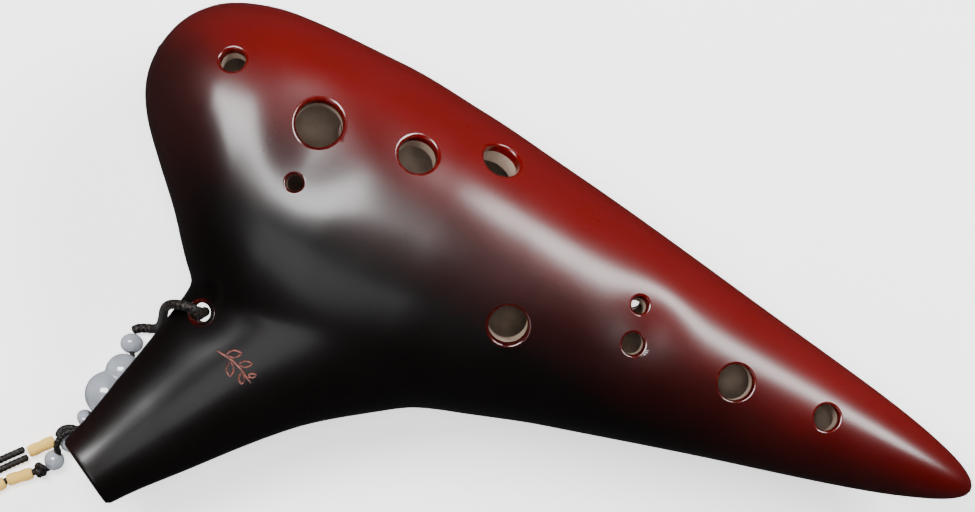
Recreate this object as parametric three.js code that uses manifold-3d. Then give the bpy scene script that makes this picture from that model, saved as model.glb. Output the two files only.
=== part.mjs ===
// A twelve-hole transverse ocarina lying on its back, playing face up, with its strap, charm and neck cord.
// Millimetres. +X runs along the chamber to the tip, +Y away from the mouthpiece, +Z up, out of the face.
// The origin is the middle of the small flat ground on the belly, on which the ocarina rests.
import * as THREE from 'three';
import { ParametricGeometry } from 'three/addons/geometries/ParametricGeometry.js';
import { mergeVertices } from 'three/addons/utils/BufferGeometryUtils.js';
import Module from 'manifold-3d';

const wasm = await Module();
wasm.setup();

// ---- driving dimensions ----
const CHAMBER_LENGTH = 205.6;
const CHAMBER_WIDTH = 72.4;
const CHAMBER_THICKNESS = 53;
const HEAD_X = -76.5;
const WALL = 5.5;
const TIP_WALL = 22;
const BELLY_FLAT_DEPTH = 1.3;
const SEAM = 0.3;

const MOUTH_END = new THREE.Vector2(-52.8, -73.75);
const MOUTH_ANGLE = THREE.MathUtils.degToRad(58.7);
const MOUTH_OVERRUN = 6;
const BLEND = 60;

const WINDWAY_HEIGHT = 1.8;
const WINDWAY_MOUTH_WIDTH = 12.4;
const WINDWAY_EXIT_WIDTH = 9.2;
const WINDWAY_MOUTH_DROP = 1.7;
const WINDWAY_PITCH = THREE.MathUtils.degToRad(12.5);
const WINDOW_START = 41;
const WINDOW_LENGTH = 6.5;
const LABIUM_ANGLE = THREE.MathUtils.degToRad(46);
const THROAT_DEPTH = 6;
const THROAT_END = 64;
const COVER_LAND = 2.4;
const COVER_START = 2;

const STRAP_HOLE = new THREE.Vector2(-43.3, -30.2);
const STRAP_HOLE_DIAMETER = 4.4;
const STRAP_DIAMETER = 2.2;

const CORD_CLEARANCE = 0.35;
const BEAD_CLEARANCE = 0.55;
const TIE_CLEARANCE = 0.5;
const CHARM_CORD_DIAMETER = 1.2;
const NECK_CORD_DIAMETER = 1.7;
const HITCH_DIAMETER = 1.6;
const WRAP_DIAMETER = 2.9;
const COIL_MEAN_DIAMETER = 20;
const COIL_COLUMNS = 3;
const COIL_LAYERS = 4;
const COIL_CENTRE = new THREE.Vector2(-93.5, -89);
const TIE_WIDTH = 3;
const TIE_THICKNESS = 0.35;
const TIE_ANGLE = THREE.MathUtils.degToRad(200);

const BUTTON_RADIUS = 2.6;
const BUTTON_HALF_LENGTH = 2.2;
const GOURD_TOP_RADIUS = 4.1;
const GOURD_BASE_RADIUS = 5.2;
const GOURD_LOBE_PITCH = 6.2;
const GOURD_BLEND = 3;
const SPACER_RADIUS = 2.5;
const SPACER_HALF_LENGTH = 1.8;
const COLLAR_RADIUS = 2.5;
const COLLAR_HALF_LENGTH = 2.3;
const END_BEAD_RADIUS = 2.3;
const END_BEAD_HALF_LENGTH = 2.2;
const KNOT_RADIUS = 2.1;
const KNOT_LENGTH = 2.5;

// Where the pieces on the cords lie: a middle and the way of the cord through them.
const BUTTON_PLACE = [[-56.1, -43.9, 2.7], [0.3, -0.9, 0.3]];
// The gourd rests on its larger lobe, and the spacer lies a step past the gourd's foot.
const GOURD_REST_DROP = 0.4;
const GOURD_PLACE = [[-55.1, -50.4, GOURD_BASE_RADIUS - GOURD_REST_DROP], [-0.19, -0.977, 0.08]];
const SPACER_STEP = [-1.055, -2.172, -1.503];
const SPACER_WAY = [-0.25, -0.9, -0.35];
const COLLAR_PLACE = [[-59.7, -70, 2.6], [-0.05, -0.99, -0.05]];
const END_BEAD_PLACE = [[-61.4, -75.2, 2.35], [-0.1, -0.93, -0.3]];
const TAIL_KNOT_PLACE = [[-63.4, -78.6, 2.2], [-0.7, -0.71, -0.05]];
const WRAP_PLACES = [
  ['gold_wrap_neck', [-63.1, -71], [-67.5, -76]],
  ['gold_wrap_tail', [-64.8, -79.9], [-69.3, -83.8]],
  ['gold_wrap_tail_end', [-69.7, -84.3], [-72.4, -88.2]],
];
const END_KNOT_PLACE = [[-73.6, -89.9, 2.2], [-0.57, -0.82, 0]];

// Cord routes, from where each cord leaves what holds it. Heights are above the table.
const STRAP_ROUTE = [
  [-57.2, -41.3, 1.8], [-56.5, -40.5, 1.6], [-55.4, -39.8, 1.5], [-54.1, -39.3, 1.7], [-52.9, -38.8, 2.6],
  [-52, -38.1, 4.6], [-51.6, -37.1, 8], [-51.5, -35.2, 15], [-51.5, -33.5, 23], [-51.1, -32.2, 28.5],
  [-50, -31.2, 32.6], [-48.3, -30.5, 35.2], [-46.4, -30.2, 36.3], [-44.8, -30.2, 35.7],
  [-43.7, -30.2, 33.8], [-43.3, -30.2, 31], [-43.3, -30.2, 23], [-43.3, -30.2, 16.5], [-43.8, -30.8, 12.5],
  [-45.2, -32.8, 7.5], [-46.8, -35.3, 3.6], [-48.4, -38.4, 1.6], [-49.4, -41, 1.2],
  [-50.5, -43, 1.2], [-51.1, -44.8, 1.2], [-51.3, -46.4, 1.2],
];
const CHARM_ROUTE = [
  [-56.6, -42.4, 2.2], [-56.1, -43.9, 2.7], [-55.5, -45.5, 3.3], [-54.8, -46.1, 4],
  [-54.5, -47.2, 4.55], [-55.1, -50.4, 4.8], [-56.3, -56.5, 5.3], [-57.2, -61.4, 5.6],
  [-57.8, -62.2, 4.8], [-58.3, -63.6, 4.2], [-58.8, -65.2, 3.5], [-59.4, -67.2, 2.9],
  [-59.6, -68.4, 2.7], [-59.7, -70, 2.6], [-59.8, -71.8, 2.5],
];
const HITCH_ROUTE = [
  [-62.6, -70.1, 1.3], [-63, -69.2, 1.1], [-62.3, -67.8, 0.9], [-60.8, -67, 0.9],
  [-59.2, -66.8, 0.9], [-57.8, -66.8, 1.6], [-57.2, -66.9, 3.2], [-58, -66.9, 5.1],
  [-59.4, -67, 5.7], [-60.9, -67.9, 5.8], [-61.9, -69.4, 5.6], [-62.2, -71.2, 5.1],
  [-61.9, -72.4, 4.3], [-61.3, -73.2, 3.1], [-61.4, -75.2, 2.35], [-61.6, -76.8, 1.85],
  [-62.3, -77.7, 2], [-63.4, -78.6, 2.1], [-64.8, -79.8, 1.5], [-67, -81.7, 1.45], [-69.3, -83.8, 1.45],
  [-69.7, -84.3, 1.45], [-71, -86.2, 1.45], [-72.4, -88.2, 1.5], [-73.5, -89.8, 2.1],
];
const NECK_OUT_ROUTE = [
  [-67.1, -77, 1.2], [-68.1, -78.1, 1], [-70.1, -80.3, 0.9], [-72.1, -82.6, 0.9],
  [-74.1, -84.8, 0.9], [-76.1, -87.1, 1.1], [-78.1, -89.3, 1.3], [-79.8, -91.1, 1.5],
];
const NECK_BACK_ROUTE = [
  [-68.6, -75.7, 1.2], [-69.6, -76.8, 1], [-71.6, -79, 0.9], [-73.6, -81.3, 0.9],
  [-75.1, -82.9, 1.2], [-76.8, -84.1, 2], [-78.8, -84.6, 3.2], [-80.4, -84.3, 4.3],
];

// Chamber stations: share of the length from the head, then the centre line, the half width and
// the half thickness as shares of their greatest values. The centre line is measured toward +Y.
const STATIONS = [
  [0, 0.464, 0, 0],
  [0.012, 0.475, 0.273, 0.347],
  [0.037, 0.459, 0.459, 0.574],
  [0.061, 0.42, 0.577, 0.702],
  [0.085, 0.365, 0.677, 0.792],
  [0.134, 0.215, 0.865, 0.902],
  [0.197, 0.102, 0.975, 0.97],
  [0.255, 0.064, 1, 0.996],
  [0.353, 0.05, 0.945, 1],
  [0.45, 0.064, 0.834, 0.951],
  [0.547, 0.086, 0.707, 0.842],
  [0.742, 0.093, 0.465, 0.592],
  [0.936, 0.093, 0.209, 0.281],
  [0.985, 0.091, 0.099, 0.136],
  [1, 0.088, 0, 0],
];
// Mouthpiece stations: distance from its end, then the left side, the right side and the half thickness.
const MOUTH_STATIONS = [
  [-10, -8.2, 8.2, 6.2],
  [0, -8.7, 8.7, 6.6],
  [20, -13.6, 12.5, 9.5],
  [44, -20.7, 18.2, 14.8],
  [66, -27, 27.6, 20],
  [90, -33, 37, 24],
];
const MOUTH_FADE_START = 70;

// Finger holes: share of the length, share of the half width from the centre line, diameter.
const FRONT_HOLES = [
  [0.084, 0.428, 5.6],
  [0.197, 0.425, 10.5],
  [0.199, 0.023, 3.8],
  [0.307, 0.545, 8.6],
  [0.391, 0.787, 8.6],
  [0.469, -0.261, 8.6],
  [0.5885, 0.325, 3.8],
  [0.599, -0.039, 4.9],
  [0.7165, 0.025, 8],
  [0.822, 0.118, 5.8],
];
const THUMB_HOLES = [
  [0.235, 0.56, 9.6],
  [0.575, 0.42, 8.4],
];
// Dishes pressed into the face: x, y, radius, and the share of the height taken away.
const FACE_DISHES = [
  [-36, 17.5, 11.5, 0.075],
  [-35, 8.5, 9, 0.035],
  [46, 6.5, 8.5, 0.085],
];
const STRAP_DISH = [-45, -30, 5.5, 0.16];

const OUTLINE_CENTRE = new THREE.Vector2(-22.2, -8.1);
const HALF_TURN = Math.PI;
const TURN = 2 * Math.PI;

// ---- how finely the pieces are divided ----
const SKIN_AROUND = 72;
const SKIN_OVER = 22;
const CAVITY_AROUND = 44;
const CAVITY_OVER = 12;
const HOLE_SIDES = 16;
const CORD_SIDES = 8;
const WRAP_SIDES = 12;
const COIL_AROUND = 40;

// ---- curves and fields ----

// Monotone cubic through the points, level outside them.
function monotone(xs, ys) {
  const count = xs.length;
  const steps = xs.slice(1).map((x, i) => x - xs[i]);
  const rises = steps.map((step, i) => (ys[i + 1] - ys[i]) / step);
  const slopes = xs.map((x, i) => {
    if (i === 0) return rises[0];
    if (i === count - 1) return rises[count - 2];
    if (rises[i - 1] * rises[i] <= 0) return 0;
    const before = 2 * steps[i] + steps[i - 1];
    const after = steps[i] + 2 * steps[i - 1];
    return (before + after) / (before / rises[i - 1] + after / rises[i]);
  });
  return (value) => {
    const x = THREE.MathUtils.clamp(value, xs[0], xs[count - 1]);
    let i = 0;
    while (i < count - 2 && x > xs[i + 1]) i += 1;
    const t = (x - xs[i]) / steps[i];
    const rise = ys[i + 1] - ys[i];
    const bend = t * (1 - t) * steps[i];
    return ys[i] + rise * t * t * (3 - 2 * t) + bend * (slopes[i] * (1 - t) - slopes[i + 1] * t);
  };
}

function column(table, index) {
  return table.map((row) => row[index]);
}

const shares = column(STATIONS, 0);
const centreShare = monotone(shares, column(STATIONS, 1));
const widthSquared = monotone(shares, column(STATIONS, 2).map((w) => w * w));
const thicknessSquared = monotone(shares, column(STATIONS, 3).map((h) => h * h));
const mouthDistances = column(MOUTH_STATIONS, 0);
const mouthLeft = monotone(mouthDistances, column(MOUTH_STATIONS, 1));
const mouthRight = monotone(mouthDistances, column(MOUTH_STATIONS, 2));
const mouthHeight = monotone(mouthDistances, column(MOUTH_STATIONS, 3));

// Height squared of an egg-like chamber: half thickness squared times one minus the squared
// share of the half width. It is negative outside.
function eggField(x, y, start, length, halfWidth, halfThickness) {
  const share = (x - start) / length;
  if (share <= 0 || share >= 1) return -Math.abs(share < 0 ? share : share - 1) * length * length;
  const across = (y - centreShare(share) * CHAMBER_WIDTH / 2) / halfWidth;
  const width = Math.max(widthSquared(share), 1e-9);
  return halfThickness ** 2 * thicknessSquared(share) * (1 - across ** 2 / width);
}

function chamberField(x, y) {
  return eggField(x, y, HEAD_X, CHAMBER_LENGTH, CHAMBER_WIDTH / 2, CHAMBER_THICKNESS / 2);
}

function cavityField(x, y) {
  const length = CHAMBER_LENGTH - WALL - TIP_WALL;
  return eggField(x, y, HEAD_X + WALL, length, CHAMBER_WIDTH / 2 - WALL, CHAMBER_THICKNESS / 2 - WALL);
}

function mouthField(x, y) {
  const dx = x - MOUTH_END.x;
  const dy = y - MOUTH_END.y;
  const along = dx * Math.cos(MOUTH_ANGLE) + dy * Math.sin(MOUTH_ANGLE);
  const across = dx * Math.sin(MOUTH_ANGLE) - dy * Math.cos(MOUTH_ANGLE);
  const left = mouthLeft(along);
  const right = mouthRight(along);
  const share = (2 * across - left - right) / (right - left);
  const fade = 1.5 * Math.max(0, along - MOUTH_FADE_START) ** 2;
  const overrun = 100 * Math.max(0, -MOUTH_OVERRUN - along);
  return mouthHeight(along) ** 2 * (1 - share ** 2) - fade - overrun;
}

// The chamber and the mouthpiece joined by a smooth greater-of-two.
function bodyField(x, y) {
  const chamber = chamberField(x, y);
  const mouth = mouthField(x, y);
  return (chamber + mouth + Math.hypot(chamber - mouth, BLEND)) / 2;
}

function dishShare(x, y, [dishX, dishY, radius, share]) {
  return share * Math.exp(-((x - dishX) ** 2 + (y - dishY) ** 2) / radius ** 2);
}

function faceHeight(x, y) {
  const dished = FACE_DISHES.reduce((sum, dish) => sum + dishShare(x, y, dish), 0);
  return Math.sqrt(Math.max(0, bodyField(x, y))) * (1 - dished - dishShare(x, y, STRAP_DISH));
}

const MIDDLE_HEIGHT = CHAMBER_THICKNESS / 2 - BELLY_FLAT_DEPTH;

function backDepth(x, y) {
  const depth = Math.sqrt(Math.max(0, bodyField(x, y))) * (1 - dishShare(x, y, STRAP_DISH));
  return Math.min(depth, MIDDLE_HEIGHT);
}

// Distance from the centre to the outline of a field, along one direction.
function outlineRadius(field, centre, angle) {
  let inside = 0;
  let outside = 2 * CHAMBER_LENGTH;
  while (outside - inside > 1e-4) {
    const middle = (inside + outside) / 2;
    const x = centre.x + middle * Math.cos(angle);
    const y = centre.y + middle * Math.sin(angle);
    if (field(x, y) > 0) inside = middle;
    else outside = middle;
  }
  return inside;
}

// Directions and radii that step evenly along the outline.
function evenOutline(field, centre, count) {
  const fine = 1440;
  const angles = Array.from({ length: fine + 1 }, (_, i) => (i / fine) * TURN);
  const radii = angles.map((angle) => outlineRadius(field, centre, angle));
  const lengths = [0];
  for (let i = 1; i <= fine; i += 1) {
    const swing = (radii[i] + radii[i - 1]) / 2 * (TURN / fine);
    lengths.push(lengths[i - 1] + Math.hypot(swing, radii[i] - radii[i - 1]));
  }
  const result = [];
  let i = 0;
  for (let k = 0; k <= count; k += 1) {
    const target = lengths[fine] * (k / count);
    while (i < fine - 1 && lengths[i + 1] < target) i += 1;
    const t = (target - lengths[i]) / (lengths[i + 1] - lengths[i]);
    result.push([angles[i] + t * TURN / fine, radii[i] + t * (radii[i + 1] - radii[i])]);
  }
  return result;
}

// ---- solids ----

function toSolid(geometry) {
  const bare = geometry.clone();
  bare.deleteAttribute('normal');
  bare.deleteAttribute('uv');
  const merged = mergeVertices(bare, 1e-4);
  const index = merged.index.array;
  const kept = [];
  for (let i = 0; i < index.length; i += 3) {
    const [a, b, c] = [index[i], index[i + 1], index[i + 2]];
    if (a !== b && b !== c && c !== a) kept.push(a, b, c);
  }
  const vertProperties = new Float32Array(merged.attributes.position.array);
  return new wasm.Manifold(new wasm.Mesh({ numProp: 3, vertProperties, triVerts: new Uint32Array(kept) }));
}

function toGeometry(solid) {
  const mesh = solid.getMesh();
  const geometry = new THREE.BufferGeometry();
  geometry.setAttribute('position', new THREE.BufferAttribute(new Float32Array(mesh.vertProperties), 3));
  geometry.setIndex(new THREE.BufferAttribute(new Uint32Array(mesh.triVerts), 1));
  geometry.computeVertexNormals();
  return geometry;
}

// A closed skin over an outline: the angle runs round it, and the second parameter runs from the
// middle of the face, over the edge and on to the middle of the back, as a sine of the radius.
function domedSolid(field, centre, top, bottom, around, over) {
  const outline = evenOutline(field, centre, around);
  const surface = (u, v, target) => {
    const [angle, radius] = outline[Math.round(u * around) % around];
    const reach = radius * Math.sin(v * HALF_TURN);
    const x = centre.x + reach * Math.cos(angle);
    const y = centre.y + reach * Math.sin(angle);
    const height = v < 0.5 ? top(x, y) : -bottom(x, y);
    target.set(x, y, Math.abs(v - 0.5) < 1e-6 ? 0 : height);
  };
  const geometry = new ParametricGeometry(surface, around, over);
  geometry.index.array.reverse();
  return toSolid(geometry);
}

function box(lowX, highX, lowY, highY, lowZ, highZ) {
  const geometry = new THREE.BoxGeometry(highX - lowX, highY - lowY, highZ - lowZ);
  geometry.translate((lowX + highX) / 2, (lowY + highY) / 2, (lowZ + highZ) / 2);
  return geometry;
}

// From the mouthpiece's own axes, X along it from its end and Y to its left, to the chamber's.
function placeOnMouth(geometry) {
  geometry.rotateZ(MOUTH_ANGLE);
  geometry.translate(MOUTH_END.x, MOUTH_END.y, 0);
  return geometry;
}

function shapeOf(points) {
  return new THREE.Shape(points.map(([x, y]) => new THREE.Vector2(x, y)));
}

function extruded(points, depth) {
  return new THREE.ExtrudeGeometry(shapeOf(points), { depth, bevelEnabled: false });
}

// A slab of the windway's plan, widened by a margin, between two heights of the sloping windway.
function windwaySlab(start, end, margin, low, high) {
  const mouth = WINDWAY_MOUTH_WIDTH / 2 + margin;
  const exit = WINDWAY_EXIT_WIDTH / 2 + margin;
  const half = (along) => mouth + (exit - mouth) * (along / WINDOW_START);
  const plan = [[start, -half(start)], [end, -half(end)], [end, half(end)], [start, half(start)]];
  const geometry = extruded(plan, high - low);
  geometry.translate(0, 0, low);
  geometry.rotateY(WINDWAY_PITCH);
  geometry.translate(0, 0, -WINDWAY_MOUTH_DROP);
  return toSolid(placeOnMouth(geometry));
}

// The window in the back, the ramp down to the labium's edge, and the throat under it.
function windowCutter() {
  const exitDepth = WINDWAY_MOUTH_DROP + WINDOW_START * Math.tan(WINDWAY_PITCH);
  const edge = WINDOW_START + WINDOW_LENGTH;
  const rampDepth = CHAMBER_THICKNESS;
  const rampEnd = edge + (rampDepth - exitDepth) / Math.tan(LABIUM_ANGLE);
  const side = [
    [WINDOW_START, -rampDepth],
    [rampEnd, -rampDepth],
    [edge, -exitDepth],
    [THROAT_END, -exitDepth],
    [THROAT_END, THROAT_DEPTH - exitDepth],
    [WINDOW_START, THROAT_DEPTH - exitDepth],
  ];
  const geometry = extruded(side, WINDWAY_EXIT_WIDTH);
  geometry.rotateX(HALF_TURN / 2);
  geometry.translate(0, WINDWAY_EXIT_WIDTH / 2, 0);
  return toSolid(placeOnMouth(geometry));
}

// A round cutter square to the skin at a hole's place, from outside the skin to inside the chamber.
function holeCutter([along, across, diameter], side) {
  const x = HEAD_X + along * CHAMBER_LENGTH;
  const halfWidth = Math.sqrt(widthSquared(along)) * CHAMBER_WIDTH / 2;
  const y = centreShare(along) * CHAMBER_WIDTH / 2 + across * halfWidth;
  const step = 0.5;
  const slopeX = (bodyField(x + step, y) - bodyField(x - step, y)) / (2 * step);
  const slopeY = (bodyField(x, y + step) - bodyField(x, y - step)) / (2 * step);
  const height = Math.sqrt(bodyField(x, y));
  const normal = new THREE.Vector3(-slopeX, -slopeY, 2 * height * side).normalize();
  const outward = 6;
  const inward = 2 * WALL;
  const geometry = new THREE.CylinderGeometry(diameter / 2, diameter / 2, outward + inward, HOLE_SIDES);
  geometry.translate(0, (outward - inward) / 2, 0);
  geometry.applyQuaternion(new THREE.Quaternion().setFromUnitVectors(new THREE.Vector3(0, 1, 0), normal));
  geometry.translate(x, y, height * side);
  return toSolid(geometry);
}

function strapBore() {
  const radius = STRAP_HOLE_DIAMETER / 2;
  const geometry = new THREE.CylinderGeometry(radius, radius, CHAMBER_THICKNESS, HOLE_SIDES);
  geometry.rotateX(HALF_TURN / 2);
  geometry.translate(STRAP_HOLE.x, STRAP_HOLE.y, 0);
  return toSolid(geometry);
}

// ---- materials ----

function material(color, roughness, metalness = 0) {
  return new THREE.MeshStandardMaterial({ color, roughness, metalness });
}
const glazedRed = material(0x5c0c08, 0.32);
const glazedDark = material(0x2a0a08, 0.32);
const fairedClay = material(0x3a120e, 0.4);
const blackBraid = material(0x1c1613, 0.8);
const jade = material(0xc4c8cc, 0.25);
const goldThread = material(0xc9952c, 0.45);

const ocarina = new THREE.Group();
const shells = new THREE.Group();
shells.position.z = MIDDLE_HEIGHT;
ocarina.add(shells);

function addPiece(parent, name, geometry, look) {
  const mesh = new THREE.Mesh(geometry, look);
  mesh.name = name;
  parent.add(mesh);
  return mesh;
}

// ---- the ceramic body ----

function buildShells() {
  const far = 2 * CHAMBER_LENGTH;
  const skin = domedSolid(bodyField, OUTLINE_CENTRE, faceHeight, backDepth, SKIN_AROUND, SKIN_OVER);
  const cavityHeight = (x, y) => Math.sqrt(Math.max(0, cavityField(x, y)));
  const cavity = domedSolid(
    cavityField, OUTLINE_CENTRE, cavityHeight, cavityHeight, CAVITY_AROUND, CAVITY_OVER);
  const endTrim = toSolid(placeOnMouth(box(-far, 0, -far, far, -far, far)));
  const outer = skin.subtract(endTrim).subtract(strapBore());
  const upper = toSolid(box(-far, far, -far, far, SEAM / 2, far));
  const lower = toSolid(box(-far, far, -far, far, -far, -SEAM / 2));

  let front = outer.intersect(upper).subtract(cavity);
  for (const hole of FRONT_HOLES) front = front.subtract(holeCutter(hole, 1));
  addPiece(shells, 'front_shell', toGeometry(front), glazedRed);

  const roof = -WINDWAY_HEIGHT / 2;
  const past = WINDOW_START + 1;
  const seat = windwaySlab(COVER_START - SEAM, past, COVER_LAND + SEAM, -CHAMBER_THICKNESS, roof + SEAM);
  const windway = windwaySlab(-MOUTH_OVERRUN, past, 0, roof, -roof);
  let back = outer.intersect(lower).subtract(cavity).subtract(windowCutter());
  for (const hole of THUMB_HOLES) back = back.subtract(holeCutter(hole, -1));
  back = back.subtract(windway).subtract(seat);
  addPiece(shells, 'back_shell', toGeometry(back), glazedDark);

  const slab = windwaySlab(COVER_START, WINDOW_START - SEAM, COVER_LAND, -CHAMBER_THICKNESS, roof);
  addPiece(shells, 'windway_cover', toGeometry(outer.intersect(slab)), fairedClay);
}

// ---- beads, knots and wraps ----

// Turns a piece lathed about Y so that its axis runs along a direction, and moves it to its place.
function placeAlong(geometry, [middle, direction]) {
  const way = new THREE.Vector3(...direction).normalize();
  geometry.applyQuaternion(new THREE.Quaternion().setFromUnitVectors(new THREE.Vector3(0, 1, 0), way));
  geometry.translate(...middle);
  return geometry;
}

// A bored piece: an outline radius along its length, closed back through the bore.
function boredPiece(radiusAt, start, end, bore, stations, sides) {
  const points = [];
  for (let i = 0; i <= stations; i += 1) {
    const share = (1 - Math.cos((i / stations) * HALF_TURN)) / 2;
    const along = start + (end - start) * share;
    points.push(new THREE.Vector2(Math.max(radiusAt(along), bore + 0.05), along));
  }
  points.push(new THREE.Vector2(bore, end), new THREE.Vector2(bore, start));
  points.push(points[0].clone());
  return new THREE.LatheGeometry(points, sides);
}

function bead(name, radius, halfLength, cordDiameter, place) {
  const bore = cordDiameter / 2 + BEAD_CLEARANCE;
  const radiusAt = (t) => radius * Math.sqrt(Math.max(0, 1 - (t / halfLength) ** 2));
  const reach = halfLength * Math.sqrt(1 - (bore / radius) ** 2);
  const geometry = boredPiece(radiusAt, -reach, reach, bore, 8, 16);
  addPiece(ocarina, name, placeAlong(geometry, place), jade);
}

const GOURD_BORE = CHARM_CORD_DIAMETER / 2 + BEAD_CLEARANCE;
const GOURD_FOOT = GOURD_LOBE_PITCH + Math.sqrt(GOURD_BASE_RADIUS ** 2 - GOURD_BORE ** 2);

// Two round lobes joined by a smooth greater-of-two of their squared radii.
function buildGourd() {
  const radiusAt = (t) => {
    const top = GOURD_TOP_RADIUS ** 2 - t ** 2;
    const base = GOURD_BASE_RADIUS ** 2 - (t - GOURD_LOBE_PITCH) ** 2;
    return Math.sqrt(Math.max(0, (top + base + Math.hypot(top - base, GOURD_BLEND)) / 2));
  };
  const start = -Math.sqrt(GOURD_TOP_RADIUS ** 2 - GOURD_BORE ** 2);
  const geometry = boredPiece(radiusAt, start, GOURD_FOOT, GOURD_BORE, 14, 18);
  addPiece(ocarina, 'gourd_bead', placeAlong(geometry, GOURD_PLACE), jade);
}

function spacerPlace() {
  const [middle, direction] = GOURD_PLACE;
  const spot = new THREE.Vector3(...direction).setLength(GOURD_FOOT);
  spot.add(new THREE.Vector3(...middle)).add(new THREE.Vector3(...SPACER_STEP));
  return [spot.toArray(), SPACER_WAY];
}

function knot(name, place) {
  const bore = HITCH_DIAMETER / 2 + 2 * CORD_CLEARANCE;
  const half = KNOT_LENGTH / 2;
  const radiusAt = (t) => bore + (KNOT_RADIUS - bore) * Math.sqrt(Math.max(0, 1 - (t / half) ** 2));
  addPiece(ocarina, name, placeAlong(boredPiece(radiusAt, -half, half, bore, 6, 12), place), blackBraid);
}

// A sleeve of thread round a cord, lying on the table between two points.
function wrap(name, from, to) {
  const height = WRAP_DIAMETER / 2;
  const start = new THREE.Vector3(...from, height);
  const end = new THREE.Vector3(...to, height);
  const half = start.distanceTo(end) / 2;
  const middle = start.clone().add(end).multiplyScalar(0.5);
  const way = end.sub(start);
  const bore = HITCH_DIAMETER / 2 + CORD_CLEARANCE;
  const profile = [[bore, -half], [height, -half], [height, half], [bore, half], [bore, -half]];
  const geometry = new THREE.LatheGeometry(profile.map(([r, t]) => new THREE.Vector2(r, t)), WRAP_SIDES);
  addPiece(ocarina, name, placeAlong(geometry, [middle.toArray(), way.toArray()]), goldThread);
}

// ---- cords ----

function cord(name, route, diameter, steps) {
  const corners = Array.from({ length: CORD_SIDES }, (_, i) => {
    const angle = (i / CORD_SIDES) * TURN;
    return [Math.cos(angle) * diameter / 2, Math.sin(angle) * diameter / 2];
  });
  const points = route.map((point) => new THREE.Vector3(...point));
  const path = new THREE.CatmullRomCurve3(points, false, 'centripetal');
  const options = { steps, extrudePath: path, bevelEnabled: false };
  const geometry = new THREE.ExtrudeGeometry(shapeOf(corners), options);
  addPiece(ocarina, name, geometry, blackBraid);
}

const COIL_BOTTOM = TIE_THICKNESS + CORD_CLEARANCE;
const COIL_HEIGHT = COIL_LAYERS * NECK_CORD_DIAMETER;
const COIL_WIDTH = COIL_COLUMNS * NECK_CORD_DIAMETER;

// The outer shape of the wound cord: a ring whose turns lie side by side and in layers.
function buildCoil() {
  const inner = (COIL_MEAN_DIAMETER - COIL_WIDTH) / 2;
  const outer = (COIL_MEAN_DIAMETER + COIL_WIDTH) / 2;
  const round = NECK_CORD_DIAMETER / 3;
  const profile = [
    [inner + round, 0], [outer - round, 0], [outer, round], [outer, COIL_HEIGHT - round],
    [outer - round, COIL_HEIGHT], [inner + round, COIL_HEIGHT], [inner, COIL_HEIGHT - round],
    [inner, round], [inner + round, 0],
  ];
  const geometry = new THREE.LatheGeometry(profile.map(([r, z]) => new THREE.Vector2(r, z)), COIL_AROUND);
  geometry.rotateX(HALF_TURN / 2);
  geometry.translate(COIL_CENTRE.x, COIL_CENTRE.y, COIL_BOTTOM);
  addPiece(ocarina, 'neck_coil', geometry, blackBraid);
}

// A flat band once round the coil's section.
function buildTie() {
  const innerWide = COIL_WIDTH + 2 * TIE_CLEARANCE;
  const innerHigh = COIL_HEIGHT + 2 * CORD_CLEARANCE;
  const rectangle = (wide, high) => [
    [-wide / 2, -high / 2], [wide / 2, -high / 2], [wide / 2, high / 2], [-wide / 2, high / 2],
  ];
  const band = shapeOf(rectangle(innerWide + 2 * TIE_THICKNESS, innerHigh + 2 * TIE_THICKNESS));
  band.holes.push(new THREE.Path(shapeOf(rectangle(innerWide, innerHigh)).getPoints()));
  const geometry = new THREE.ExtrudeGeometry(band, { depth: TIE_WIDTH, bevelEnabled: false });
  geometry.translate(0, 0, -TIE_WIDTH / 2);
  geometry.rotateX(HALF_TURN / 2);
  geometry.translate(COIL_MEAN_DIAMETER / 2, 0, COIL_BOTTOM + COIL_HEIGHT / 2);
  geometry.rotateZ(TIE_ANGLE);
  geometry.translate(COIL_CENTRE.x, COIL_CENTRE.y, 0);
  addPiece(ocarina, 'coil_tie', geometry, blackBraid);
}

buildShells();
bead('button_bead', BUTTON_RADIUS, BUTTON_HALF_LENGTH, CHARM_CORD_DIAMETER, BUTTON_PLACE);
buildGourd();
bead('spacer_bead', SPACER_RADIUS, SPACER_HALF_LENGTH, CHARM_CORD_DIAMETER, spacerPlace());
bead('collar_bead', COLLAR_RADIUS, COLLAR_HALF_LENGTH, CHARM_CORD_DIAMETER, COLLAR_PLACE);
bead('end_bead', END_BEAD_RADIUS, END_BEAD_HALF_LENGTH, HITCH_DIAMETER, END_BEAD_PLACE);
knot('tail_knot', TAIL_KNOT_PLACE);
knot('tail_end_knot', END_KNOT_PLACE);
for (const [name, from, to] of WRAP_PLACES) wrap(name, from, to);
cord('strap_cord', STRAP_ROUTE, STRAP_DIAMETER, 40);
cord('charm_cord', CHARM_ROUTE, CHARM_CORD_DIAMETER, 24);
cord('hitch_cord', HITCH_ROUTE, HITCH_DIAMETER, 40);
cord('neck_cord_out', NECK_OUT_ROUTE, NECK_CORD_DIAMETER, 8);
cord('neck_cord_back', NECK_BACK_ROUTE, NECK_CORD_DIAMETER, 10);
buildCoil();
buildTie();

export default ocarina;
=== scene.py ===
"""Looks for a twelve-hole transverse ocarina with its strap, stone charm and neck cord.

Run as a script inside Blender. It is laid out as an add-on: property groups hold the sizes and colours,
operators make the pieces round the fixed frame, and a panel lists them. Lengths are in metres.
"""
import math

import bpy
import numpy as np
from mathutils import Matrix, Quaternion, Vector


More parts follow.
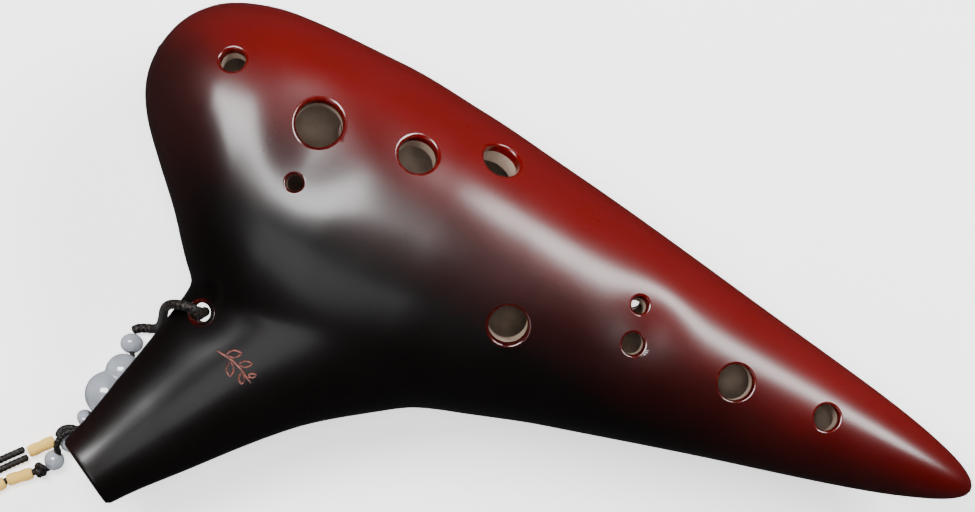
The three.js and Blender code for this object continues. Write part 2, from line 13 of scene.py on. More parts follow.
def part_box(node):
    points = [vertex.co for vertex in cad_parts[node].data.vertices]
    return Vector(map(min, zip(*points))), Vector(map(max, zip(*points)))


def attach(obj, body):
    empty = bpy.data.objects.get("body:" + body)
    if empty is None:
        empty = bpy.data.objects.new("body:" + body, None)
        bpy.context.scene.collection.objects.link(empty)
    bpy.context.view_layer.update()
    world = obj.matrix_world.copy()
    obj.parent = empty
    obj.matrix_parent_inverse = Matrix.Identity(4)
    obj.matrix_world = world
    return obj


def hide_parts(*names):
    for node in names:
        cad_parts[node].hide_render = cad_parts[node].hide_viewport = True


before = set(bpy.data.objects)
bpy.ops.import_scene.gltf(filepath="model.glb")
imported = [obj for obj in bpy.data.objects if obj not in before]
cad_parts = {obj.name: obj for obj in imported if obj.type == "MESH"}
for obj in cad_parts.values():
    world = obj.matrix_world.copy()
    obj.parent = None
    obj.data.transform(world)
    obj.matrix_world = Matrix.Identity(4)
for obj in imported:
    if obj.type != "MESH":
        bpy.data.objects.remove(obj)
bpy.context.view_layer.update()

bl_info = {
    "name": "Ocarina looks",
    "version": (1, 0, 0),
    "blender": (4, 5, 0),
    "location": "View3D > Sidebar > Ocarina",
    "description": "Makes a glazed ocarina with its strap, beads and neck cord round a fixed frame",
    "category": "Add Mesh",
}

MM = 0.001
TURN = 2 * math.pi
SEAM_HAIR = 0.02
MIDDLE = (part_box("front_shell")[0][2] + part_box("back_shell")[1][2]) / 2

# The chamber and mouthpiece, in millimetres, as the frame's shells are made.
CHAMBER_LENGTH, CHAMBER_WIDTH, CHAMBER_THICKNESS = 205.6, 72.4, 53.0
HEAD_X = -76.5
WALL, TIP_WALL = 5.5, 22.0
MOUTH_END = np.array([-52.8, -73.75])
MOUTH_ANGLE = math.radians(58.7)
MOUTH_FADE_START = 70.0
BLEND = 60.0
END_BULGE, END_BLEND = 70.0, 14.0
OUTLINE_CENTRE = np.array([-22.2, -8.1])
STATIONS = np.array([
    [0, 0.464, 0, 0], [0.012, 0.475, 0.273, 0.347], [0.037, 0.459, 0.459, 0.574],
    [0.061, 0.42, 0.577, 0.702], [0.085, 0.365, 0.677, 0.792], [0.134, 0.215, 0.865, 0.902],
    [0.197, 0.102, 0.975, 0.97], [0.255, 0.064, 1, 0.996], [0.353, 0.05, 0.945, 1],
    [0.45, 0.064, 0.834, 0.951], [0.547, 0.086, 0.707, 0.842], [0.742, 0.093, 0.465, 0.592],
    [0.936, 0.093, 0.209, 0.281], [0.985, 0.091, 0.099, 0.136], [1, 0.088, 0, 0],
])
MOUTH_STATIONS = np.array([
    [-10, -8.2, 8.2, 6.2], [0, -8.7, 8.7, 6.6], [20, -13.6, 12.5, 9.5], [44, -20.7, 18.2, 14.8],
    [66, -27, 27.6, 20], [90, -33, 37, 24],
])
FACE_DISHES = [(-36, 17.5, 11.5, 0.075), (-35, 8.5, 9, 0.035), (46, 6.5, 8.5, 0.085)]
STRAP_DISH = (-45, -30, 5.5, 0.16)
# Share of the length, share of the half width from the centre line, diameter, rounding of the rim.
FRONT_HOLES = [
    (0.084, 0.428, 5.6, 0.7), (0.197, 0.425, 10.5, 0.9), (0.199, 0.023, 3.8, 0.6),
    (0.307, 0.545, 8.6, 0.8), (0.391, 0.787, 8.6, 0.7), (0.469, -0.261, 8.6, 0.7),
    (0.5885, 0.325, 3.8, 0.6), (0.599, -0.039, 4.9, 0.6), (0.7165, 0.025, 8, 0.6),
    (0.822, 0.118, 5.8, 0.6),
]
THUMB_HOLES = [(0.235, 0.56, 9.6, 0.9), (0.575, 0.42, 8.4, 0.9)]
STRAP_HOLE = (-43.3, -30.2, 4.4, 0.9)
GLAZED_LIP = 2.3
CUTTER_RISE = 7.0
STRAP_BORE_DEPTH = 14
SHARP_ANGLE = math.radians(38)
# How finely the shells and holes are drawn.
SKIN_DIRECTIONS, SKIN_RINGS, HOLLOW_RINGS = 440, 130, 45
HOLE_DIRECTIONS, HOLE_STEPS = 64, 9

# A small incised sprig: where it stands, which way it grows, its length and its leaves.
SPRIG_PLACE, SPRIG_ANGLE, SPRIG_LENGTH = (-36.6, -36.3), math.radians(-20), 10.5
SPRIG_LEAVES = [(0.2, 1, 3.6), (0.36, -1, 3.6), (0.54, 1, 3.1), (0.7, -1, 2.7), (0.84, 1, 2.0)]
SPRIG_LINE = 0.62

WINDWAY_HEIGHT = 1.8
WINDWAY_MOUTH_WIDTH, WINDWAY_EXIT_WIDTH = 12.4, 9.2
WINDWAY_MOUTH_DROP = 1.7
WINDWAY_PITCH = math.radians(12.5)
WINDOW_START, WINDOW_LENGTH = 41.0, 6.5
LABIUM_ANGLE = math.radians(46)
THROAT_DEPTH, THROAT_END = 6.0, 64.0

# Cord routes, in millimetres, from where each cord leaves what holds it.
STRAP_ROUTE = [
    (-57.2, -41.3, 1.8), (-56.5, -40.5, 1.6), (-55.4, -39.8, 1.5), (-54.1, -39.3, 1.7),
    (-52.9, -38.8, 2.6), (-52, -38.1, 4.6), (-51.6, -37.1, 8), (-51.5, -35.2, 15),
    (-51.5, -33.5, 23), (-51.1, -32.2, 28.5), (-50, -31.2, 32.6), (-48.3, -30.5, 35.2),
    (-46.4, -30.2, 36.3), (-44.8, -30.2, 35.7), (-43.7, -30.2, 33.8), (-43.3, -30.2, 31),
    (-43.3, -30.2, 23), (-43.3, -30.2, 16.5), (-43.8, -30.8, 12.5), (-45.2, -32.8, 7.5),
    (-46.8, -35.3, 3.6), (-48.4, -38.4, 1.6), (-49.4, -41, 1.2), (-50.5, -43, 1.2),
    (-51.1, -44.8, 1.2), (-51.3, -46.4, 1.2),
]
CHARM_ROUTE = [
    (-56.6, -42.4, 2.2), (-56.1, -43.9, 2.7), (-55.5, -45.5, 3.3), (-54.8, -46.1, 4),
    (-54.5, -47.2, 4.55), (-55.1, -50.4, 4.8), (-56.3, -56.5, 5.3), (-57.2, -61.4, 5.6),
    (-57.8, -62.2, 4.8), (-58.3, -63.6, 4.2), (-58.8, -65.2, 3.5), (-59.4, -67.2, 2.9),
    (-59.6, -68.4, 2.7), (-59.7, -70, 2.6), (-59.8, -71.8, 2.5),
]
HITCH_ROUTE = [
    (-62.6, -70.1, 1.3), (-63, -69.2, 1.1), (-62.3, -67.8, 0.9), (-60.8, -67, 0.9),
    (-59.2, -66.8, 0.9), (-57.8, -66.8, 1.6), (-57.2, -66.9, 3.2), (-58, -66.9, 5.1),
    (-59.4, -67, 5.7), (-60.9, -67.9, 5.8), (-61.9, -69.4, 5.6), (-62.2, -71.2, 5.1),
    (-61.9, -72.4, 4.3), (-61.3, -73.2, 3.1), (-61.4, -75.2, 2.35), (-61.6, -76.8, 1.85),
    (-62.3, -77.7, 2), (-63.4, -78.6, 2.1), (-64.8, -79.8, 1.5), (-67, -81.7, 1.45),
    (-69.3, -83.8, 1.45), (-69.7, -84.3, 1.45), (-71, -86.2, 1.45), (-72.4, -88.2, 1.5),
    (-73.5, -89.8, 2.1),
]
NECK_OUT_ROUTE = [
    (-67.1, -77, 1.2), (-68.1, -78.1, 1), (-70.1, -80.3, 0.9), (-72.1, -82.6, 0.9),
    (-74.1, -84.8, 0.9), (-76.1, -87.1, 1.1), (-78.1, -89.3, 1.3), (-79.8, -91.1, 1.5),
]
NECK_BACK_ROUTE = [
    (-68.6, -75.7, 1.2), (-69.6, -76.8, 1), (-71.6, -79, 0.9), (-73.6, -81.3, 0.9),
    (-75.1, -82.9, 1.2), (-76.8, -84.1, 2), (-78.8, -84.6, 3.2), (-80.4, -84.3, 4.3),
]
STRAP_DIAMETER, CHARM_DIAMETER, HITCH_DIAMETER, NECK_DIAMETER = 2.2, 1.2, 1.6, 1.7
# The neck cord's coil: its centre, mean diameter and bottom in millimetres, its columns, the angle where it
# starts and its number of turns.
COIL_CENTRE = (-93.5, -89.0)
COIL_MEAN_DIAMETER, COIL_COLUMNS = 20.0, 3
COIL_BOTTOM = 0.7
COIL_START_ANGLE = math.radians(-41.5)
COIL_TURNS = 11.75

BUTTON_PLACE = ((-56.1, -43.9, 2.7), (0.3, -0.9, 0.3))
GOURD_PLACE = ((-55.1, -50.4, 4.8), (-0.19, -0.977, 0.08))
SPACER_PLACE = ((-58.3, -63.6, 4.2), (-0.25, -0.9, -0.35))
COLLAR_PLACE = ((-59.7, -70, 2.6), (-0.05, -0.99, -0.05))
END_BEAD_PLACE = ((-61.4, -75.2, 2.35), (-0.1, -0.93, -0.3))
TAIL_KNOT_PLACE = ((-63.4, -78.6, 2.2), (-0.7, -0.71, -0.05))
END_KNOT_PLACE = ((-73.6, -89.9, 2.2), (-0.57, -0.82, 0))
# Each wrap's body, start and end. The neck wrap starts a little past its hinge, to clear the hitched
# cord as it swings.
WRAPS = [
    ("gold_wrap_neck", "neck_cord", (-63.3, -71.22), (-67.5, -76)),
    ("gold_wrap_tail", "strap", (-64.8, -79.9), (-69.3, -83.8)),
    ("gold_wrap_tail_end", "strap", (-69.7, -84.3), (-72.4, -88.2)),
]
WRAP_DIAMETER = 2.9
THREAD_CLEARANCE = 0.05
BEAD_CLEARANCE = 0.3
BEAD_LIP = 0.22
GOURD_TOP_RADIUS, GOURD_BASE_RADIUS, GOURD_PITCH, GOURD_BLEND = 4.1, 5.2, 6.2, 3.0
KNOT_SIZE, KNOT_STRAND_TURNS = 0.86, 30

CAMERA_DISTANCE, VIEW_WIDTH = 1.3, 0.2172
CAMERA_PLACE, CAMERA_TURN = (0.0095, 0.007), math.radians(24)
FLOOR_REACH = 1.5
# Each light's place, what it faces, its width and height, power in watts, turn, and whether it glints.
LIGHTS = [
    ("left_softbox", (-0.41, 0.15, 0.86), (-0.03, 0, 0.03), (0.34, 0.62), 16, 46, True),
    ("far_softbox", (0.38, 0.56, 0.66), (0.04, 0, 0.03), (0.6, 0.22), 12, 0, True),
    ("near_fill", (-0.19, -0.5, 0.72), (-0.02, -0.02, 0.03), (0.4, 0.4), 0.8, 0, True),
    ("top_light", (0.03, 0.02, 1.25), (0.01, 0, 0), (0.24, 0.24), 6, 0, False),
]


# ---------------------------------------------------------------- settings

class OCARINA_PG_glaze(bpy.types.PropertyGroup):
    """Colours of the airbrushed glaze."""
    red: bpy.props.FloatVectorProperty(
        name="Red", description="Glaze on the side away from the mouthpiece", subtype="COLOR",
        default=(0.088, 0.0006, 0.0006), min=0, max=1)
    maroon: bpy.props.FloatVectorProperty(
        name="Maroon", description="Glaze between the red and the black", subtype="COLOR",
        default=(0.018, 0.0007, 0.0006), min=0, max=1)
    black: bpy.props.FloatVectorProperty(
        name="Black", description="Glaze toward the mouthpiece", subtype="COLOR",
        default=(0.0013, 0.0008, 0.0008), min=0, max=1)
    clay: bpy.props.FloatVectorProperty(
        name="Clay", description="Bare clay inside the chamber", subtype="COLOR",
        default=(0.34, 0.25, 0.19), min=0, max=1)
    roughness: bpy.props.FloatProperty(
        name="Roughness", description="Roughness of the satin glaze", default=0.3, min=0, max=1)


class OCARINA_PG_trim(bpy.types.PropertyGroup):
    """Colours and fineness of the cords, thread and beads."""
    cord: bpy.props.FloatVectorProperty(
        name="Cord", description="Braided cord", subtype="COLOR", default=(0.0035, 0.0025, 0.0022),
        min=0, max=1)
    thread: bpy.props.FloatVectorProperty(
        name="Thread", description="Gold thread", subtype="COLOR", default=(0.3, 0.095, 0.001),
        min=0, max=1)
    stone: bpy.props.FloatVectorProperty(
        name="Stone", description="Translucent bead stone", subtype="COLOR",
        default=(0.36, 0.38, 0.42), min=0, max=1)
    thread_pitch: bpy.props.FloatProperty(
        name="Thread pitch", description="Distance between turns of gold thread", default=0.00034,
        min=0.0001, max=0.002, unit="LENGTH")
    braid_pitch: bpy.props.FloatProperty(
        name="Braid pitch", description="Distance between crossings of the braid, in cord diameters",
        default=0.62, min=0.2, max=10)


# ---------------------------------------------------------------- mesh helpers

def monotone(xs, ys):
    """Monotone cubic through points: Hermite pieces whose slopes are weighted harmonic means."""
    step, rise = np.diff(xs), np.diff(ys) / np.diff(xs)
    slope = np.concatenate([[rise[0]], np.zeros(len(xs) - 2), [rise[-1]]])
    before, after = 2 * step[1:] + step[:-1], step[1:] + 2 * step[:-1]
    same = rise[:-1] * rise[1:] > 0
    safe = np.where(same, rise[:-1], 1), np.where(same, rise[1:], 1)
    slope[1:-1] = np.where(same, (before + after) / (before / safe[0] + after / safe[1]), 0)

    def value(x):
        x = np.clip(x, xs[0], xs[-1])
        i = np.clip(np.searchsorted(xs, x) - 1, 0, len(xs) - 2)
        t = (x - xs[i]) / step[i]
        bend = t * (1 - t) * step[i] * (slope[i] * (1 - t) - slope[i + 1] * t)
        return ys[i] + (ys[i + 1] - ys[i]) * t * t * (3 - 2 * t) + bend
    return value


centre_share = monotone(STATIONS[:, 0], STATIONS[:, 1])
width_squared = monotone(STATIONS[:, 0], STATIONS[:, 2] ** 2)
thickness_squared = monotone(STATIONS[:, 0], STATIONS[:, 3] ** 2)
mouth_left = monotone(MOUTH_STATIONS[:, 0], MOUTH_STATIONS[:, 1])
mouth_right = monotone(MOUTH_STATIONS[:, 0], MOUTH_STATIONS[:, 2])
mouth_height = monotone(MOUTH_STATIONS[:, 0], MOUTH_STATIONS[:, 3])


def egg_field(x, y, start, length, half_width, half_thickness):
    """Height squared of the chamber: half thickness squared times one minus the squared share of
    the half width; negative outside."""
    share = (x - start) / length
    across = (y - centre_share(share) * CHAMBER_WIDTH / 2) / half_width
    width = np.maximum(width_squared(share), 1e-9)
    inside = half_thickness ** 2 * thickness_squared(share) * (1 - across ** 2 / width)
    over = np.maximum(-share, share - 1)
    return np.where(over >= 0, -over * length ** 2 - 1e-6, inside)


def smooth_greater(a, b, blend):
    """Greater of two values, rounded over where they are nearly equal."""
    return (a + b + np.hypot(a - b, blend)) / 2


def mouth_axes(x, y):
    """Distance along the mouthpiece from its end, and to the right of its middle line."""
    dx, dy = x - MOUTH_END[0], y - MOUTH_END[1]
    c, s = math.cos(MOUTH_ANGLE), math.sin(MOUTH_ANGLE)
    return dx * c + dy * s, dx * s - dy * c


def body_field(x, y):
    """Height squared of the whole body: the chamber and the mouthpiece joined by a smooth
    greater-of-two, ended by a slightly bulging face at the mouthpiece's end."""
    chamber = egg_field(x, y, HEAD_X, CHAMBER_LENGTH, CHAMBER_WIDTH / 2, CHAMBER_THICKNESS / 2)
    along, across = mouth_axes(x, y)
    left, right = mouth_left(along), mouth_right(along)
    share = (2 * across - left - right) / (right - left)
    fade = 1.5 * np.maximum(0, along - MOUTH_FADE_START) ** 2
    mouth = mouth_height(along) ** 2 * (1 - share ** 2) - fade
    joined = smooth_greater(chamber, mouth, BLEND)
    return -smooth_greater(-joined, -END_BULGE * along, END_BLEND)


def cavity_field(x, y):
    """Height squared of the hollow: the chamber's own form, shorter and narrower by its wall."""
    return egg_field(x, y, HEAD_X + WALL, CHAMBER_LENGTH - WALL - TIP_WALL,
                     CHAMBER_WIDTH / 2 - WALL, CHAMBER_THICKNESS / 2 - WALL)


def dish(x, y, place):
    """Share of the height that a pressed dish takes away: a bell curve of the distance."""
    dish_x, dish_y, radius, share = place
    return share * np.exp(-((x - dish_x) ** 2 + (y - dish_y) ** 2) / radius ** 2)


def face_height(x, y):
    """Height of the playing face over the seam plane, less the pressed dishes."""
    taken = sum(dish(x, y, place) for place in FACE_DISHES) + dish(x, y, STRAP_DISH)
    return np.sqrt(np.maximum(0, body_field(x, y))) * (1 - taken)


def belly_depth(x, y):
    """Depth of the belly under the seam plane, ground flat where it would pass under the table."""
    depth = np.sqrt(np.maximum(0, body_field(x, y))) * (1 - dish(x, y, STRAP_DISH))
    return np.minimum(depth, MIDDLE / MM)


def cavity_height(x, y):
    """Height of the hollow over the seam plane."""
    return np.sqrt(np.maximum(0, cavity_field(x, y)))


def outline_radii(field, angles):
    """Distance from the middle to a field's zero line along each direction, by halving."""
    low, high = np.zeros_like(angles), np.full_like(angles, 2 * CHAMBER_LENGTH)
    for _ in range(44):
        middle = (low + high) / 2
        inside = field(OUTLINE_CENTRE[0] + middle * np.cos(angles),
                       OUTLINE_CENTRE[1] + middle * np.sin(angles)) > 0
        low, high = np.where(inside, middle, low), np.where(inside, high, middle)
    return low


def even_angles(field, count):
    """Directions that step evenly along a field's outline."""
    fine = np.linspace(0, TURN, 5761)
    radii = outline_radii(field, fine)
    points = np.stack([radii * np.cos(fine), radii * np.sin(fine)], 1)
    lengths = np.concatenate([[0], np.cumsum(np.linalg.norm(np.diff(points, axis=0), axis=1))])
    return np.interp(np.linspace(0, lengths[-1], count + 1)[:-1], lengths, fine)


def signed_volume(points, faces):
    a, b, c = (points[faces[:, i]] for i in range(3))
    return np.einsum("ij,ij->i", a, np.cross(b, c)).sum() / 6


def mesh_object(name, points, quads, triangles, materials, quad_slots=None, triangle_slots=None):
    """An object at the origin from arrays in metres, its faces turned outward, shaded smooth."""
    halves = np.concatenate([quads[:, [0, 1, 2]], quads[:, [0, 2, 3]], triangles])
    if signed_volume(points, halves) < 0:
        quads, triangles = quads[:, ::-1], triangles[:, ::-1]
    mesh = bpy.data.meshes.new(name)
    mesh.from_pydata(points.tolist(), [], quads.tolist() + triangles.tolist())
    for material in materials:
        mesh.materials.append(material)
    slots = np.zeros(len(mesh.polygons), np.int32)
    if quad_slots is not None:
        slots = np.concatenate([quad_slots, triangle_slots]).astype(np.int32)
    mesh.polygons.foreach_set("material_index", slots)
    mesh.polygons.foreach_set("use_smooth", np.ones(len(mesh.polygons), bool))
    mesh.update()
    piece = bpy.data.objects.new(name, mesh)
    bpy.context.scene.collection.objects.link(piece)
    return piece


def ring_quads(rows, around):
    """Quads between successive closed rings of a grid stored ring by ring."""
    i, j = np.meshgrid(np.arange(rows - 1), np.arange(around), indexing="ij")
    k = (j + 1) % around
    return np.stack([i * around + j, i * around + k, (i + 1) * around + k, (i + 1) * around + j],
                    -1).reshape(-1, 4)


def capped_rings(name, rings, first, last, materials, row_slots=None):
    """A closed piece from rings of points, rows by around by three, with a pole at each end."""
    rows, around = rings.shape[:2]
    points = np.concatenate([rings.reshape(-1, 3), [first, last]])
    quads = ring_quads(rows, around)
    j = np.arange(around)
    k = (j + 1) % around
    start = np.stack([np.full(around, rows * around), k, j], 1)
    base = (rows - 1) * around
    end = np.stack([np.full(around, rows * around + 1), base + j, base + k], 1)
    triangles = np.concatenate([start, end])
    if row_slots is None:
        return mesh_object(name, points, quads, triangles, materials)
    quad_slots = np.repeat(row_slots[1:-1], around)
    ends = np.repeat([row_slots[0], row_slots[-1]], around)
    return mesh_object(name, points, quads, triangles, materials, quad_slots, ends)


def looped_rings(name, rings, materials):
    """A closed piece from rings whose last joins its first, such as a bored bead or a band."""
    rows, around = rings.shape[:2]
    quads = ring_quads(rows + 1, around) % (rows * around)
    return mesh_object(name, rings.reshape(-1, 3), quads, np.zeros((0, 3), int), materials)


def axes_along(direction):
    """Two unit vectors square to a direction, and the direction itself at unit length."""
    way = np.array(direction, float)
    way /= np.linalg.norm(way)
    side = np.cross(way, [0, 0, 1.0] if abs(way[2]) < 0.9 else [1.0, 0, 0])
    side /= np.linalg.norm(side)
    return side, np.cross(way, side), way


def smooth_route(points, step):
    """A centripetal Catmull-Rom curve through the points, resampled at even steps, in metres."""
    points = np.array(points, float)
    ends = 2 * points[0] - points[1], 2 * points[-1] - points[-2]
    p = np.concatenate([[ends[0]], points, [ends[1]]])
    gap = np.sqrt(np.linalg.norm(np.diff(p, axis=0), axis=1))[:, None]
    t = np.linspace(0, 1, 24, endpoint=False)[None, :, None]
    p0, p1, p2, p3 = (p[i:len(p) - 3 + i, None] for i in range(4))
    d0, d1, d2 = (gap[i:len(gap) - 2 + i, None] for i in range(3))
    m1 = d1 * ((p1 - p0) / d0 - (p2 - p0) / (d0 + d1)) + (p2 - p1)
    m2 = d1 * ((p3 - p2) / d2 - (p3 - p1) / (d1 + d2)) + (p2 - p1)
    curve = ((2 * t ** 3 - 3 * t ** 2 + 1) * p1 + (t ** 3 - 2 * t ** 2 + t) * m1
             + (3 * t ** 2 - 2 * t ** 3) * p2 + (t ** 3 - t ** 2) * m2)
    curve = np.concatenate([curve.reshape(-1, 3), points[-1:]])
    return even_steps(curve, step) * MM


def even_steps(curve, step):
    """The same line with its points an even step apart."""
    lengths = np.concatenate([[0], np.cumsum(np.linalg.norm(np.diff(curve, axis=0), axis=1))])
    count = max(8, int(round(lengths[-1] / step)))
    at = np.linspace(0, lengths[-1], count + 1)
    return np.stack([np.interp(at, lengths, curve[:, i]) for i in range(3)], 1)


def carried_frames(path):
    """Two vectors square to the path at each point, turned as little as possible from the last."""
    way = np.gradient(path, axis=0)
    way /= np.linalg.norm(way, axis=1)[:, None]
    side = np.zeros_like(path)
    side[0] = axes_along(way[0])[0]
    for i in range(1, len(path)):
        kept = side[i - 1] - way[i] * (side[i - 1] @ way[i])
        side[i] = kept / np.linalg.norm(kept)
    return side, np.cross(way, side)


def circles(centres, radii, angle, side, up):
    """Rings of points: each centre plus its radius times the cosine and sine of the angle along two
    vectors."""
    return centres + radii[..., None] * (np.cos(angle)[None, :, None] * side
                                         + np.sin(angle)[None, :, None] * up)


def store_strands(piece, values):
    """Keeps at each point how far it stands out of the groove between strands. From it, the cord and thread
    materials paint shade in the grooves and highlight on the crowns.
    """
    shade = piece.data.attributes.new("strand", "FLOAT", "POINT")
    shade.data.foreach_set("value", values.reshape(-1).astype(np.float32))


def braided_tube(name, path, diameter, around, strands, pitch, material):
    """A round section carried along a path. Its radius swells where one of two families of
    helical strands, turning opposite ways, is on top, and it closes in a rounded tip at each end."""
    side, up = carried_frames(path)
    run = np.concatenate([[0], np.cumsum(np.linalg.norm(np.diff(path, axis=0), axis=1))])
    angle = np.arange(around) / around * TURN
    phase = run[:, None] / (pitch * diameter) * TURN
    right = np.cos(strands * (angle[None] + phase / strands))
    left = np.cos(strands * (angle[None] - phase / strands) + math.pi / 2)
    swell = np.maximum(right, left)
    tip = np.clip(np.minimum(run, run[-1] - run) / (0.3 * diameter), 0, 1)
    taper = np.sqrt(np.clip(1 - (1 - tip) ** 2, 0.04, 1))[:, None]
    radius = diameter / 2 * (0.85 + 0.15 * swell) * taper
    rings = circles(path[:, None], radius, angle, side[:, None], up[:, None])
    piece = capped_rings(name, rings, path[0], path[-1], [material])
    store_strands(piece, np.concatenate([(0.5 + 0.5 * swell).reshape(-1), [0, 0]]))
    return piece


# ---------------------------------------------------------------- materials

class Shader:
    """Builds one node material: each method adds a node and gives back its output."""

    def __init__(self, name, **sockets):
        self.material = bpy.data.materials.new(name)
        self.material.use_nodes = True
        self.tree = self.material.node_tree
        self.surface = self.tree.nodes["Principled BSDF"]
        for socket, value in sockets.items():
            self.surface.inputs[socket.replace("_", " ")].default_value = value
        self.place = self.new("TexCoord").outputs["Object"]

    def new(self, kind):
        return self.tree.nodes.new("ShaderNode" + kind)

    def put(self, node, **inputs):
        for key, value in inputs.items():
            socket = node.inputs[int(key[1:])] if key[0] == "i" and key[1:].isdigit() \
                else node.inputs[key.replace("_", " ")]
            if isinstance(value, bpy.types.NodeSocket):
                self.tree.links.new(value, socket)
            else:
                socket.default_value = value
        return node

    def math(self, operation, a, b=0.0):
        node = self.new("Math")
        node.operation = operation
        return self.put(node, i0=a, i1=b).outputs[0]

    def noise(self, scale, detail=4.0, roughness=0.55):
        return self.put(self.new("TexNoise"), Vector=self.place, Scale=scale, Detail=detail,
                        Roughness=roughness).outputs["Fac"]

    def cells(self, scale):
        return self.put(self.new("TexVoronoi"), Vector=self.place, Scale=scale).outputs["Distance"]

    def between(self, value, low, high, to_low=0.0, to_high=1.0):
        node = self.new("MapRange")
        node.interpolation_type = "SMOOTHSTEP"
        return self.put(node, i0=value, i1=low, i2=high, i3=to_low, i4=to_high).outputs[0]

    def ramp(self, value, stops):
        node = self.new("ValToRGB")
        elements = node.color_ramp.elements
        while len(elements) < len(stops):
            elements.new(0.5)
        for element, (place, colour) in zip(elements, stops):
            element.position = place
            element.color = (*colour, 1)
        return self.put(node, Fac=value).outputs["Color"]

    def mix(self, share, a, b, blend="MIX"):
        node = self.new("Mix")
        node.data_type = "RGBA"
        node.blend_type = blend
        return self.put(node, i0=share, i6=a, i7=b).outputs[2]

    def axes(self):
        return self.put(self.new("SeparateXYZ"), Vector=self.place).outputs

    def attribute(self, name):
        node = self.new("Attribute")
        node.attribute_name = name
        return node.outputs["Fac"]

    def bump(self, height, strength, distance, normal=None):
        under = {} if normal is None else {"Normal": normal}
        return self.put(self.new("Bump"), Height=height, Strength=strength, Distance=distance,
                        **under).outputs["Normal"]

    def finish(self, **inputs):
        self.put(self.surface, **inputs)
        return self.material


def tint(colour, share):
    """A colour made darker or lighter by a share, up to white."""
    return tuple(min(1, share * c) for c in colour)


def glaze_colour(shader, settings):
    """Airbrushed colour by place: red away from the mouthpiece, through maroon, to black, with cloudy
    borders. Round the left of the head it is painted darker brown as painted shade, where the surface turns
    away from the lights."""
    x, y, _ = shader.axes()
    cloud = shader.math("MULTIPLY", shader.math("SUBTRACT", shader.noise(38, 3), 0.5), 0.01)
    within = shader.math("MINIMUM", shader.math("MAXIMUM", x, -0.02), 0.085)
    along = shader.math("MULTIPLY", within, 0.13)
    height = shader.math("ADD", shader.math("ADD", y, along), cloud)
    share = shader.between(height, -0.02, 0.03)
    share.node.interpolation_type = "LINEAR"
    black, maroon, red = (tuple(c) for c in (settings.black, settings.maroon, settings.red))
    dim, half = tint(maroon, 0.5), tint(red, 0.5)
    base = shader.ramp(share, [(0.0, black), (0.25, black), (0.45, dim), (0.57, maroon),
                               (0.69, half), (0.9, red)])
    # Painted shade: toward the left end of the head, mostly outside the red, the colour is mixed toward dark
    # brown to stand in for the shade where the surface turns from the lights.
    low = shader.between(height, 0.012, 0.03, 1.0, 0.3)
    left = shader.math("MULTIPLY", shader.between(x, -0.046, -0.072), low)
    brown = (0.013, 0.0035, 0.0033, 1)
    return shader.mix(shader.math("MULTIPLY", left, 0.85), base, brown)


def glaze_material():
    """Satin airbrushed glaze: colour by place, fine grain, faint pits and a thin clear coat."""
    settings = bpy.context.scene.ocarina_glaze
    shader = Shader("satin_glaze", Coat_Weight=0.3, Coat_Roughness=0.2, Coat_IOR=1.5, IOR=1.45)
    colour = glaze_colour(shader, settings)
    grain = shader.noise(2600, 3, 0.7)
    fleck = shader.mix(shader.between(grain, 0.56, 0.72, 0.0, 0.14), colour, (0.06, 0.012, 0.01, 1),
                       "SCREEN")
    drift = shader.noise(55, 4)
    worn = shader.math("ADD", shader.between(drift, 0.3, 0.75, -0.02, 0.04), settings.roughness)
    rough = shader.math("ADD", worn, shader.between(grain, 0.3, 0.8, -0.01, 0.02))
    peel = shader.bump(shader.noise(420, 2), 0.06, 0.0002)
    normal = shader.bump(grain, 0.05, 0.00004, peel)
    return shader.finish(Base_Color=fleck, Roughness=rough, Normal=normal)


def rim_material():
    """Glaze drawn thin over a hole's rounded edge: redder, brighter and smoother, with clay
    showing through in places."""
    settings = bpy.context.scene.ocarina_glaze
    shader = Shader("rim_glaze", Coat_Weight=0.6, Coat_Roughness=0.08, Roughness=0.2)
    colour = glaze_colour(shader, settings)
    thin = shader.mix(0.3, colour, (*tint(settings.red, 0.8), 1))
    patch = shader.between(shader.noise(700, 4), 0.5, 0.75, 0.0, 0.2)
    shown = shader.mix(patch, thin, (0.2, 0.03, 0.015, 1))
    normal = shader.bump(shader.noise(900, 3), 0.12, 0.0001)
    return shader.finish(Base_Color=shown, Normal=normal)


def incised_material():
    """Worn glaze in an incised line: brick red with darker specks."""
    shader = Shader("incised_glaze", Roughness=0.55)
    speck = shader.noise(1400, 4)
    shown = shader.ramp(speck, [(0.35, (0.03, 0.006, 0.005)), (0.65, (0.17, 0.045, 0.032))])
    return shader.finish(Base_Color=shown, Normal=shader.bump(speck, 0.3, 0.0001))


def clay_material():
    """Bare fired clay: grey-brown, mottled, rough, with grog and wiping marks."""
    settings = bpy.context.scene.ocarina_glaze
    shader = Shader("bare_clay", Specular_IOR_Level=0.25)
    mottle = shader.noise(160, 5)
    pale, dark = tuple(settings.clay), tint(settings.clay, 0.55)
    base = shader.ramp(mottle, [(0.3, dark), (0.7, pale)])
    grog = shader.between(shader.cells(1500), 0.0, 0.25, 0.5, 0.0)
    shown = shader.mix(grog, base, (0.34, 0.25, 0.18, 1))
    normal = shader.bump(shader.noise(800, 6), 0.5, 0.0003)
    rough = shader.between(mottle, 0.2, 0.8, 0.75, 0.95)
    return shader.finish(Base_Color=shown, Roughness=rough, Normal=normal)


